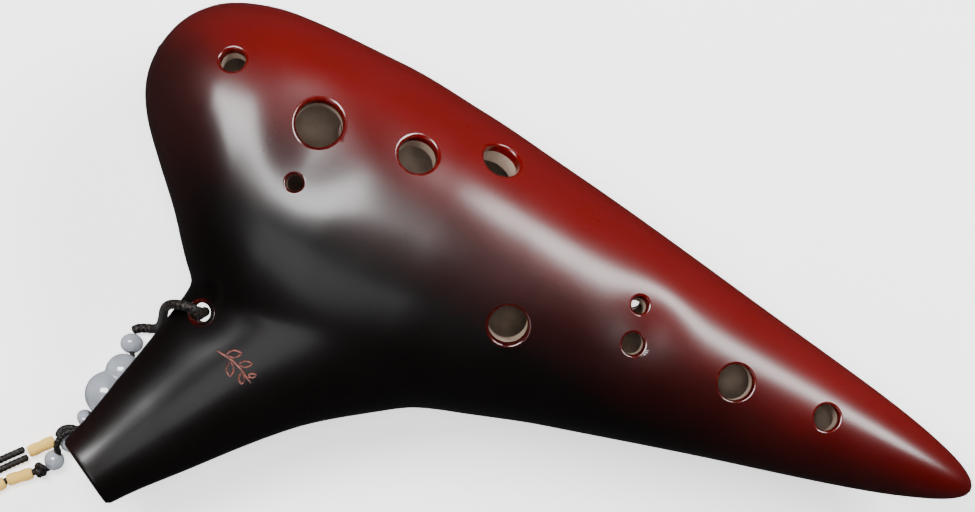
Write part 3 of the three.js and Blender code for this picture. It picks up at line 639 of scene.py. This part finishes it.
def cord_material():
    """Black nylon braid with sheen and fibres. Its colour is painted darker in the grooves between strands
    as painted shade, and lighter and browner on each strand's crown as a painted highlight.
    """
    settings = bpy.context.scene.ocarina_trim
    shader = Shader("black_braid", Sheen_Weight=0.06, Sheen_Roughness=0.4, Roughness=0.5,
                    Specular_IOR_Level=0.3)
    dark = tuple(settings.cord)
    # Painted shade and painted highlight: the strand value makes the braid darker in its grooves and lighter
    # and browner on its crowns.
    crown = shader.ramp(shader.attribute("strand"), [
        (0.35, tint(dark, 0.25)), (0.75, dark), (1.0, tint(dark, 2.6))])
    speckle = shader.between(shader.noise(1900, 2), 0.6, 0.7, 0.0, 0.5)
    shown = shader.mix(speckle, crown, (0.12, 0.06, 0.045, 1))
    normal = shader.bump(shader.noise(4200, 2), 0.5, 0.00012)
    return shader.finish(Base_Color=shown, Normal=normal)


def thread_material():
    """Wound gold thread: warm yellow with a silky glint. Its colour is painted near black between turns as
    painted shade, and lighter on each turn's crown as a painted highlight.
    """
    settings = bpy.context.scene.ocarina_trim
    shader = Shader("gold_thread", Metallic=0.25, Specular_IOR_Level=0.35)
    gold = tuple(settings.thread)
    # Painted shade and painted highlight: the strand value makes the thread near black in the grooves
    # between turns and lighter on their crowns.
    wound = shader.ramp(shader.attribute("strand"), [
        (0.0, (0.05, 0.016, 0.002)), (0.55, gold), (1.0, tint(gold, 1.25))])
    drift = shader.between(shader.noise(420, 3), 0.35, 0.7, 0.0, 0.55)
    shown = shader.mix(drift, wound, (0.24, 0.075, 0.004, 1))
    normal = shader.bump(shader.noise(3600, 2), 0.4, 0.0001)
    rough = shader.between(shader.noise(900, 2), 0.3, 0.7, 0.28, 0.5)
    return shader.finish(Base_Color=shown, Roughness=rough, Normal=normal)


def stone_material():
    """Pale translucent stone: milky clouds, light scattered inside, a polished skin."""
    settings = bpy.context.scene.ocarina_trim
    shader = Shader("pale_stone", Subsurface_Weight=0.55, Subsurface_Scale=0.003,
                    Subsurface_Radius=(1.0, 1.0, 1.0), Coat_Weight=1.0, Coat_Roughness=0.03,
                    Transmission_Weight=0.12, IOR=1.65)
    cloud = shader.noise(330, 4)
    pale = tuple(settings.stone)
    base = shader.ramp(cloud, [(0.3, tint(pale, 0.82)), (0.68, pale), (0.8, tint(pale, 1.14))])
    rough = shader.between(shader.noise(800, 3), 0.3, 0.8, 0.1, 0.24)
    normal = shader.bump(shader.noise(1300, 2), 0.05, 0.0001)
    return shader.finish(Base_Color=base, Roughness=rough, Normal=normal)


def floor_material():
    """Pale matt paper with a faint tooth."""
    shader = Shader("pale_paper", Roughness=0.9, Specular_IOR_Level=0.2,
                    Emission_Color=(1, 1, 1, 1), Emission_Strength=1.3)
    tone = shader.ramp(shader.noise(9, 3), [(0.3, (0.86, 0.86, 0.86)), (0.7, (0.9, 0.9, 0.9))])
    return shader.finish(Base_Color=tone, Normal=shader.bump(shader.noise(900, 3), 0.04, 0.0002))


def looks(name, make):
    """The named material, made the first time that it is asked for."""
    return bpy.data.materials.get(name) or make()


def as_piece(piece, body, slot, *nodes):
    """Rides a piece on a body in place of its frame nodes. The slot argument is not used."""
    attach(piece, body)
    if nodes:
        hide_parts(*nodes)
    return piece


# ---------------------------------------------------------------- ceramic body

def shell_rings(height, sign):
    """Rings from the middle of a shell's skin, over its edge and back along the hollow: the angle
    is one parameter, and the other is an arc whose sine is the share of the outline's radius."""
    angles = even_angles(body_field, SKIN_DIRECTIONS)
    outer, inner = outline_radii(body_field, angles), outline_radii(cavity_field, angles)
    arc = np.linspace(0, math.pi / 2, SKIN_RINGS + 1)[1:]
    inner_arc = np.linspace(math.pi / 2, 0, HOLLOW_RINGS + 1)[:-1]

    def at(radii, share, heights):
        reach = np.sin(share)[:, None] * radii[None]
        x = OUTLINE_CENTRE[0] + reach * np.cos(angles)[None]
        y = OUTLINE_CENTRE[1] + reach * np.sin(angles)[None]
        return np.stack([x, y, sign * heights(x, y)], -1)
    skin, hollow = at(outer, arc, height), at(inner, inner_arc, cavity_height)
    skin[-1, :, 2] = 0
    hollow[0, :, 2] = 0
    lift = max(sign, 0) * SEAM_HAIR * MM
    rings = np.concatenate([skin, hollow]) * MM
    rings[..., 2] += MIDDLE + lift
    slots = np.concatenate([np.zeros(len(skin), int), np.ones(len(hollow) + 1, int)])
    poles = [[*OUTLINE_CENTRE, sign * h(*OUTLINE_CENTRE)] for h in (height, cavity_height)]
    poles = np.array(poles) * MM
    poles[:, 2] += MIDDLE + lift
    return rings, poles, slots


def skin_offset(centre, normal, side, up, radius, angle, height, sign):
    """How far the skin stands along the hole's axis from its tangent plane, round a circle,
    found by stepping the same miss back a few times."""
    offset = np.zeros_like(angle)
    for _ in range(12):
        spot = (centre[None] + radius * (np.cos(angle)[:, None] * side + np.sin(angle)[:, None] * up)
                + offset[:, None] * normal)
        miss = sign * spot[:, 2] - height(spot[:, 0], spot[:, 1])
        offset -= 0.8 * miss / max(0.5, abs(normal[2])) * np.abs(normal[2])
    return offset


def rim_cutter(name, centre, normal, radius, rounding, height, sign, depth):
    """A bore with a flared mouth: a profile carried round the hole's axis. It runs up the bore,
    swings out through a quarter circle and meets the skin at its own height all round."""
    side, up, way = axes_along(normal)
    angle = np.arange(HOLE_DIRECTIONS) / HOLE_DIRECTIONS * TURN
    offset = skin_offset(centre, way, side, up, radius + rounding, angle, height, sign)
    swing = np.linspace(0, math.pi / 2, HOLE_STEPS)
    radii = np.concatenate([[radius] * 3, radius + rounding * (1 - np.cos(swing)),
                            [radius + rounding + 0.5] * 2])
    drop = np.concatenate([[-depth, -GLAZED_LIP, -GLAZED_LIP], rounding * (np.sin(swing) - 1), [0.5, 0]])
    drop[2] += 0.01
    heights = drop[:, None] + offset[None]
    heights[0] = -depth
    heights[-1] = CUTTER_RISE
    spots = circles(centre, radii[:, None], angle, side, up) + heights[..., None] * way
    spots = spots * MM + [0, 0, MIDDLE]
    ends = [(centre + way * h) * MM + [0, 0, MIDDLE] for h in (-depth, CUTTER_RISE)]
    clay, rim = looks("bare_clay", clay_material), looks("rim_glaze", rim_material)
    slots = np.array([0, 0, 1, 1] + [1] * (len(swing) + 2))
    return capped_rings(name, spots, *ends, [clay, rim], slots)


def hole_cutters(holes, height, sign, label):
    """One flared cutter for each finger hole, square to the skin there."""
    cutters = []
    for i, (share, across, diameter, rounding) in enumerate(holes):
        x = HEAD_X + share * CHAMBER_LENGTH
        half_width = math.sqrt(width_squared(share)) * CHAMBER_WIDTH / 2
        y = centre_share(share) * CHAMBER_WIDTH / 2 + across * half_width
        slope_x = body_field(x + 0.5, y) - body_field(x - 0.5, y)
        slope_y = body_field(x, y + 0.5) - body_field(x, y - 0.5)
        normal = np.array([-slope_x, -slope_y, 2 * math.sqrt(body_field(x, y)) * sign])
        centre = np.array([x, y, sign * float(height(x, y))])
        cutters.append(rim_cutter(f"{label}_{i}", centre, normal, diameter / 2, rounding, height,
                                  sign, 2 * WALL))
    return cutters


def strap_cutter(height, sign):
    """The strap hole, flared on one side of the web."""
    x, y, diameter, rounding = STRAP_HOLE
    centre = np.array([x, y, sign * float(height(x, y))])
    return rim_cutter("strap_cutter", centre, (0, 0, sign), diameter / 2, rounding, height, sign,
                      STRAP_BORE_DEPTH)


def prism(name, outline, low, high, place, material):
    """A flat outline carried straight from one height to another, then placed by a function."""
    outline = np.array(outline, float)
    rings = np.stack([np.column_stack([outline, np.full(len(outline), h)]) for h in (low, high)])
    middle = outline.mean(0)
    ends = np.array([[*middle, low], [*middle, high]])
    return capped_rings(name, place(rings) * MM + [0, 0, MIDDLE], *(place(ends) * MM + [0, 0, MIDDLE]),
                        [material])


def on_mouth(points):
    """From the mouthpiece's axes, along it from its end and to its left, to the chamber's."""
    c, s = math.cos(MOUTH_ANGLE), math.sin(MOUTH_ANGLE)
    x, y = points[..., 0], points[..., 1]
    return np.stack([MOUTH_END[0] + x * c - y * s, MOUTH_END[1] + x * s + y * c, points[..., 2]], -1)


def windway_cutters():
    """The sloping windway slot, narrowing to its exit, and the window with its ramp and throat."""
    clay = looks("bare_clay", clay_material)

    def slope(points):
        c, s = math.cos(WINDWAY_PITCH), math.sin(WINDWAY_PITCH)
        x, z = points[..., 0], points[..., 2]
        return on_mouth(np.stack([x * c + z * s, points[..., 1], z * c - x * s - WINDWAY_MOUTH_DROP], -1))

    def upright(points):
        return on_mouth(np.stack([points[..., 0], points[..., 2], points[..., 1]], -1))
    widths = np.interp([-6, WINDOW_START + 2], [0, WINDOW_START],
                       [WINDWAY_MOUTH_WIDTH / 2, WINDWAY_EXIT_WIDTH / 2])
    plan = [(-6, -widths[0]), (WINDOW_START + 2, -widths[1]), (WINDOW_START + 2, widths[1]), (-6, widths[0])]
    slot = prism("windway_cutter", plan, -WINDWAY_HEIGHT / 2, WINDWAY_HEIGHT / 2, slope, clay)
    exit_depth = WINDWAY_MOUTH_DROP + WINDOW_START * math.tan(WINDWAY_PITCH)
    edge = WINDOW_START + WINDOW_LENGTH
    deep = CHAMBER_THICKNESS
    half = WINDWAY_EXIT_WIDTH / 2
    window = [(WINDOW_START, -deep), (edge + (deep - exit_depth) / math.tan(LABIUM_ANGLE), -deep),
              (edge, -exit_depth), (edge, THROAT_DEPTH - exit_depth),
              (WINDOW_START, THROAT_DEPTH - exit_depth)]
    throat = [(WINDOW_START, -exit_depth + 0.05), (THROAT_END, -exit_depth + 0.05),
              (THROAT_END, THROAT_DEPTH - exit_depth), (WINDOW_START, THROAT_DEPTH - exit_depth)]
    return [slot, prism("window_cutter", window, -half, half, upright, clay),
            prism("throat_cutter", throat, -half + 0.02, half - 0.02, upright, clay)]


def cut(piece, cutters):
    """Cuts the solids of the cutters out of a piece, and keeps their finish on the cut faces."""
    for cutter in cutters:
        modifier = piece.modifiers.new(cutter.name, "BOOLEAN")
        modifier.operation = "DIFFERENCE"
        modifier.solver = "EXACT"
        modifier.material_mode = "TRANSFER"
        modifier.object = cutter
    settled = piece.evaluated_get(bpy.context.evaluated_depsgraph_get())
    mesh = bpy.data.meshes.new_from_object(settled)
    piece.modifiers.clear()
    piece.data = mesh
    mesh.set_sharp_from_angle(angle=SHARP_ANGLE)
    for cutter in cutters:
        bpy.data.objects.remove(cutter)


def make_shell(name, height, sign, cutters, slot, *nodes):
    rings, poles, slots = shell_rings(height, sign)
    materials = [looks("satin_glaze", glaze_material), looks("bare_clay", clay_material)]
    shell = capped_rings(name, rings, *poles, materials, slots)
    cut(shell, cutters)
    as_piece(shell, "instrument", slot, *nodes)


def line_on_face(name, x, y, width):
    """A round groove cutter along a line on the face: a small circle, which shrinks at both ends,
    carried along the line at the face's own height."""
    path = np.stack([x, y, face_height(x, y) + 0.2 * width + MIDDLE / MM], 1)
    side, up = carried_frames(path)
    share = np.linspace(0, 1, len(path))
    radius = width / 2 * np.sqrt(np.clip(np.minimum(share, 1 - share) * 8, 0.15, 1))
    angle = np.arange(10) / 10 * TURN
    rings = circles(path[:, None], radius[:, None], angle, side[:, None], up[:, None])
    material = looks("incised_glaze", incised_material)
    return capped_rings(name, rings * MM, path[0] * MM, path[-1] * MM, [material])


def sprig_cutters():
    """A bowed stem and pointed leaves on alternate sides: each leaf is two arcs of a sine that
    start on the stem and meet at the leaf's tip."""
    c, s = math.cos(SPRIG_ANGLE), math.sin(SPRIG_ANGLE)

    def put(along, across):
        return SPRIG_PLACE[0] + along * c - across * s, SPRIG_PLACE[1] + along * s + across * c

    def stem(t):
        return SPRIG_LENGTH * t, 0.9 * np.sin(math.pi * t)
    t = np.linspace(0, 1, 30)
    cutters = [line_on_face("stem_groove", *put(*stem(t)), SPRIG_LINE)]
    for i, (share, hand, length) in enumerate(SPRIG_LEAVES):
        root_x, root_y = stem(share)
        lean = math.radians(48) * hand
        for j, bow in enumerate((0.22, -0.22)):
            t = np.linspace(0.04, 1, 18)
            along, across = length * t, bow * length * np.sin(math.pi * t)
            x = root_x + along * math.cos(lean) - across * math.sin(lean)
            y = root_y + along * math.sin(lean) + across * math.cos(lean) + 0.3 * hand
            cutters.append(line_on_face(f"leaf_groove_{i}_{j}", *put(x, y), 0.8 * SPRIG_LINE))
    return cutters


class OCARINA_OT_face(bpy.types.Operator):
    """Make the playing face with its ten finger holes"""
    bl_idname = "ocarina.face"
    bl_label = "Playing face"

    def execute(self, context):
        cutters = hole_cutters(FRONT_HOLES, face_height, 1, "finger_cutter")
        cutters += [strap_cutter(face_height, 1)] + sprig_cutters()
        make_shell("face_shell", face_height, 1, cutters, "glazed_face", "front_shell")
        return {"FINISHED"}


class OCARINA_OT_belly(bpy.types.Operator):
    """Make the belly with its thumb holes, windway, window and labium"""
    bl_idname = "ocarina.belly"
    bl_label = "Belly"

    def execute(self, context):
        cutters = hole_cutters(THUMB_HOLES, belly_depth, -1, "thumb_cutter")
        cutters += [strap_cutter(belly_depth, -1)] + windway_cutters()
        make_shell("belly_shell", belly_depth, -1, cutters, "glazed_back", "back_shell",
                   "windway_cover")
        return {"FINISHED"}


# ---------------------------------------------------------------- cords

def coil_path():
    """Turns laid side by side in columns and on each other in layers, out, in and out again; the
    step to the next column or layer takes the last eighth of a turn."""
    turn = np.linspace(0, COIL_TURNS, int(COIL_TURNS * 72) + 1)
    whole = np.floor(turn)
    ease = np.clip((turn - whole - 0.875) / 0.125, 0, 1)
    count = whole + ease * ease * (3 - 2 * ease)

    def column(k):
        layer, place = np.divmod(k, COIL_COLUMNS)
        return np.where(layer % 2 == 0, COIL_COLUMNS - 1 - place, place)
    share = count - whole
    columns = column(whole) * (1 - share) + column(whole + 1) * share
    layers = whole // COIL_COLUMNS * (1 - share) + (whole + 1) // COIL_COLUMNS * share
    radius = COIL_MEAN_DIAMETER / 2 + (columns - (COIL_COLUMNS - 1) / 2) * NECK_DIAMETER
    angle = COIL_START_ANGLE - turn * TURN
    return np.stack([COIL_CENTRE[0] + radius * np.cos(angle), COIL_CENTRE[1] + radius * np.sin(angle),
                     COIL_BOTTOM + (layers + 0.5) * NECK_DIAMETER], 1)


def neck_path():
    """Out from the wrap, round the coil and back to the wrap, in metres at even steps."""
    coil = coil_path()
    out = smooth_route(NECK_OUT_ROUTE + [tuple(coil[0])], 0.3) / MM
    back = smooth_route([tuple(coil[-1])] + NECK_BACK_ROUTE[::-1], 0.3) / MM
    return even_steps(np.concatenate([out, coil[1:-1], back]), 0.15) * MM


class OCARINA_OT_neck_cord(bpy.types.Operator):
    """Make the neck cord, put away in a coil"""
    bl_idname = "ocarina.neck_cord"
    bl_label = "Neck cord"

    def execute(self, context):
        path = neck_path()
        pitch = context.scene.ocarina_trim.braid_pitch
        neck = braided_tube("neck_cord", path, NECK_DIAMETER * MM, 14, 3, pitch,
                            looks("black_braid", cord_material))
        as_piece(neck, "neck_cord", "black_cord", "neck_cord_out", "neck_coil", "neck_cord_back")
        return {"FINISHED"}


class OCARINA_OT_strap_cords(bpy.types.Operator):
    """Make the braided strap, the charm's thin cord and the hitched cord"""
    bl_idname = "ocarina.strap_cords"
    bl_label = "Strap and charm cords"

    def execute(self, context):
        pitch = context.scene.ocarina_trim.braid_pitch
        rows = [("strap_braid", STRAP_ROUTE, STRAP_DIAMETER, 20, 4, "strap_cord", "knot"),
                ("charm_core", CHARM_ROUTE, CHARM_DIAMETER, 12, 3, "charm_cord", "knot"),
                ("hitch_braid", HITCH_ROUTE, HITCH_DIAMETER, 14, 3, "hitch_cord", "knot")]
        for name, route, diameter, around, strands, node, end in rows:
            path = smooth_route(route, 0.12)
            tube = braided_tube(name, path, diameter * MM, around, strands, pitch,
                                looks("black_braid", cord_material))
            as_piece(tube, "strap", "black_cord", node)
        return {"FINISHED"}


# ---------------------------------------------------------------- beads, knots, wraps

def turned(name, radii, heights, bore, place, around, material):
    """A profile carried round an axis, outside and back through the bore."""
    middle, direction = np.array(place[0], float), place[1]
    side, up, way = axes_along(direction)
    angle = np.arange(around) / around * TURN
    edge = bore + BEAD_LIP * 0.3
    radii = np.concatenate([[edge], np.maximum(radii, bore + BEAD_LIP), [edge, bore, bore]])
    heights = np.concatenate([[heights[0] - 0.05], heights, [heights[-1] + 0.05, heights[-1] - 0.2,
                                                            heights[0] + 0.2]])
    rings = circles(middle, radii[:, None], angle, side, up) + heights[:, None, None] * way
    return looped_rings(name, rings * MM, [material])


def egg_profile(radius, half_length, bore):
    """Half an ellipse from one end of the bore to the other."""
    reach = half_length * math.sqrt(1 - (bore / radius) ** 2)
    heights = -reach * np.cos(np.linspace(0, math.pi, 41))
    return radius * np.sqrt(np.maximum(0, 1 - (heights / half_length) ** 2)), heights


def gourd_profile(bore):
    """Two lobes joined by a smooth greater-of-two of their squared radii."""
    start = -math.sqrt(GOURD_TOP_RADIUS ** 2 - bore ** 2)
    end = GOURD_PITCH + math.sqrt(GOURD_BASE_RADIUS ** 2 - bore ** 2)
    heights = start + (end - start) * (1 - np.cos(np.linspace(0, math.pi, 97))) / 2
    squared = smooth_greater(GOURD_TOP_RADIUS ** 2 - heights ** 2,
                             GOURD_BASE_RADIUS ** 2 - (heights - GOURD_PITCH) ** 2, GOURD_BLEND)
    return np.sqrt(np.maximum(0, squared)), heights


class OCARINA_OT_beads(bpy.types.Operator):
    """Make the gourd and the round stone beads"""
    bl_idname = "ocarina.beads"
    bl_label = "Beads"

    def execute(self, context):
        stone = looks("pale_stone", stone_material)
        thin, thick = CHARM_DIAMETER / 2 + BEAD_CLEARANCE, HITCH_DIAMETER / 2 + BEAD_CLEARANCE
        rows = [("button_stone", "button_bead", "strap", 2.6, 2.2, thin, BUTTON_PLACE),
                ("spacer_stone", "spacer_bead", "spacer", 2.5, 1.8, thin, SPACER_PLACE),
                ("collar_stone", "collar_bead", "strap", 2.5, 2.3, thin, COLLAR_PLACE),
                ("end_stone", "end_bead", "end_bead", 2.3, 2.2, thick, END_BEAD_PLACE)]
        for name, node, body, radius, half, bore, place in rows:
            piece = turned(name, *egg_profile(radius, half, bore), bore, place, 56, stone)
            as_piece(piece, body, "jade", node)
        gourd = turned("gourd_stone", *gourd_profile(thin), thin, GOURD_PLACE, 72, stone)
        as_piece(gourd, "gourd", "jade", "gourd_bead")
        return {"FINISHED"}


def knot_path(place, size):
    """A trefoil: a point goes twice round a ring while it goes three times round the ring's
    section, flattened along the cord."""
    side, up, way = axes_along(place[1])
    t = np.linspace(0, TURN, 145)[:-1]
    ring = size * (1 + 0.48 * np.cos(1.5 * 2 * t))
    x, y, z = ring * np.cos(2 * t), ring * np.sin(2 * t), 0.75 * size * np.sin(3 * t)
    return (np.array(place[0]) + x[:, None] * side + y[:, None] * up + z[:, None] * way) * MM


class OCARINA_OT_knots(bpy.types.Operator):
    """Make the two knots on the hitched cord's tail"""
    bl_idname = "ocarina.knots"
    bl_label = "Knots"

    def execute(self, context):
        for name, node, place in (("tail_knot_braid", "tail_knot", TAIL_KNOT_PLACE),
                                  ("end_knot_braid", "tail_end_knot", END_KNOT_PLACE)):
            path = knot_path(place, KNOT_SIZE)
            way = np.roll(path, -1, 0) - np.roll(path, 1, 0)
            way /= np.linalg.norm(way, axis=1)[:, None]
            out = path - np.array(place[0]) * MM
            side = np.cross(way, out)
            side /= np.linalg.norm(side, axis=1)[:, None]
            up = np.cross(side, way)
            angle = np.arange(14) / 14 * TURN
            twist = np.cos(3 * angle[None] + np.arange(len(path))[:, None] * TURN * KNOT_STRAND_TURNS
                           / len(path))
            radius = 0.68 * MM * (0.94 + 0.08 * twist)
            rings = circles(path[:, None], radius, angle, side[:, None], up[:, None])
            piece = looped_rings(name, rings, [looks("black_braid", cord_material)])
            store_strands(piece, 0.5 + 0.5 * twist)
            as_piece(piece, "strap", "black_cord", node)
        return {"FINISHED"}


class OCARINA_OT_wraps(bpy.types.Operator):
    """Make the gold thread wound round the cords"""
    bl_idname = "ocarina.wraps"
    bl_label = "Gold wraps"

    def execute(self, context):
        pitch = context.scene.ocarina_trim.thread_pitch / MM
        for name, body, start, end in WRAPS:
            self.wind(name, body, np.array([*start, WRAP_DIAMETER / 2]),
                      np.array([*end, WRAP_DIAMETER / 2]), pitch)
        return {"FINISHED"}

    def wind(self, name, body, start, end, pitch):
        """A sleeve whose radius rises over each turn of a helical thread and rounds off at its
        ends, carried back through the cord's bore."""
        length = np.linalg.norm(end - start)
        side, up, way = axes_along(end - start)
        run = np.linspace(0, length, int(length / pitch * 7))
        angle = np.arange(28) / 28 * TURN
        ridge = np.abs(np.cos(math.pi * run[:, None] / pitch + angle[None] / 2))
        end_round = np.sqrt(np.clip(1 - (1 - np.minimum(run, length - run) / 0.5) ** 2, 0, 1))
        end_round = np.where(np.minimum(run, length - run) > 0.5, 1, end_round)
        crown = WRAP_DIAMETER / 2 * (0.8 + 0.2 * end_round)[:, None] - 0.11 * (1 - ridge)
        swell = 1 - 0.04 * (1 + np.cos(TURN * run / length * 2))[:, None] * np.cos(angle)[None] ** 2
        outer = crown * swell
        inner = np.full((2, 28), HITCH_DIAMETER / 2 + THREAD_CLEARANCE)
        radii = np.concatenate([outer, inner])
        places = np.concatenate([run, [length, 0]])
        rings = circles(start + places[:, None, None] * way, radii, angle, side, up)
        piece = looped_rings(name + "_thread", rings * MM, [looks("gold_thread", thread_material)])
        store_strands(piece, np.concatenate([ridge, np.zeros((2, 28))]))
        as_piece(piece, body, "gold_thread", name)


# ---------------------------------------------------------------- stage

def area_light(name, place, target, size, power, turn):
    """A soft rectangular light that faces its target, turned in its own plane."""
    data = bpy.data.lights.new(name, "AREA")
    data.shape = "RECTANGLE"
    data.size, data.size_y = size
    data.energy = power
    light = bpy.data.objects.new(name, data)
    bpy.context.scene.collection.objects.link(light)
    light.location = place
    facing = (Vector(target) - Vector(place)).to_track_quat("-Z", "Y")
    light.rotation_euler = (facing @ Quaternion((0, 0, 1), turn)).to_euler()
    return light


class OCARINA_OT_stage(bpy.types.Operator):
    """Make the camera, the lights and the floor"""
    bl_idname = "ocarina.stage"
    bl_label = "Camera, lights and floor"

    def execute(self, context):
        data = bpy.data.cameras.new("camera")
        data.lens = data.sensor_width * CAMERA_DISTANCE / VIEW_WIDTH
        data.clip_end = 10
        camera = bpy.data.objects.new("camera", data)
        context.scene.collection.objects.link(camera)
        camera.location = (*CAMERA_PLACE, MIDDLE + CAMERA_DISTANCE)
        camera.rotation_euler = (0, 0, CAMERA_TURN)
        context.scene.camera = camera

        world = bpy.data.worlds.new("studio")
        context.scene.world = world
        world.use_nodes = True
        world.node_tree.nodes["Background"].inputs["Color"].default_value = (1, 1, 1, 1)
        world.node_tree.nodes["Background"].inputs["Strength"].default_value = 0.03
        for name, place, target, size, power, turn, glints in LIGHTS:
            light = area_light(name, place, target, size, power, math.radians(turn))
            light.visible_glossy = glints

        floor = bpy.data.meshes.new("floor")
        corners = [(x * FLOOR_REACH, y * FLOOR_REACH, 0) for x, y in ((-1, -1), (1, -1), (1, 1), (-1, 1))]
        floor.from_pydata(corners, [], [(0, 1, 2, 3)])
        floor.materials.append(looks("pale_paper", floor_material))
        ground = bpy.data.objects.new("floor", floor)
        context.scene.collection.objects.link(ground)
        ground.visible_glossy = False
        return {"FINISHED"}


class OCARINA_OT_frame_looks(bpy.types.Operator):
    """Give the frame's shown nodes their finish"""
    bl_idname = "ocarina.frame_looks"
    bl_label = "Frame finish"

    def execute(self, context):
        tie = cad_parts["coil_tie"]
        tie.data.materials.clear()
        tie.data.materials.append(looks("black_braid", cord_material))
        return {"FINISHED"}


STEPS = ("stage", "neck_cord", "strap_cords", "face", "belly", "beads", "knots", "wraps", "frame_looks")


class OCARINA_PT_panel(bpy.types.Panel):
    """Lists the ocarina's pieces and settings"""
    bl_idname = "OCARINA_PT_panel"
    bl_label = "Ocarina"
    bl_space_type = "VIEW_3D"
    bl_region_type = "UI"
    bl_category = "Ocarina"

    def draw(self, context):
        for name in STEPS:
            self.layout.operator("ocarina." + name)
        for group in (context.scene.ocarina_glaze, context.scene.ocarina_trim):
            for prop in group.bl_rna.properties[1:]:
                if prop.identifier != "name":
                    self.layout.prop(group, prop.identifier)


CLASSES = (OCARINA_PG_glaze, OCARINA_PG_trim, OCARINA_OT_stage, OCARINA_OT_neck_cord,
           OCARINA_OT_strap_cords, OCARINA_OT_face, OCARINA_OT_belly, OCARINA_OT_beads,
           OCARINA_OT_knots, OCARINA_OT_wraps, OCARINA_OT_frame_looks, OCARINA_PT_panel)


def register():
    for cls in CLASSES:
        bpy.utils.register_class(cls)
    bpy.types.Scene.ocarina_glaze = bpy.props.PointerProperty(type=OCARINA_PG_glaze)
    bpy.types.Scene.ocarina_trim = bpy.props.PointerProperty(type=OCARINA_PG_trim)


def unregister():
    del bpy.types.Scene.ocarina_trim
    del bpy.types.Scene.ocarina_glaze
    for cls in reversed(CLASSES):
        bpy.utils.unregister_class(cls)


def main():
    register()
    for name in STEPS:
        getattr(bpy.ops.ocarina, name)()


if __name__ == "__main__":
    main()
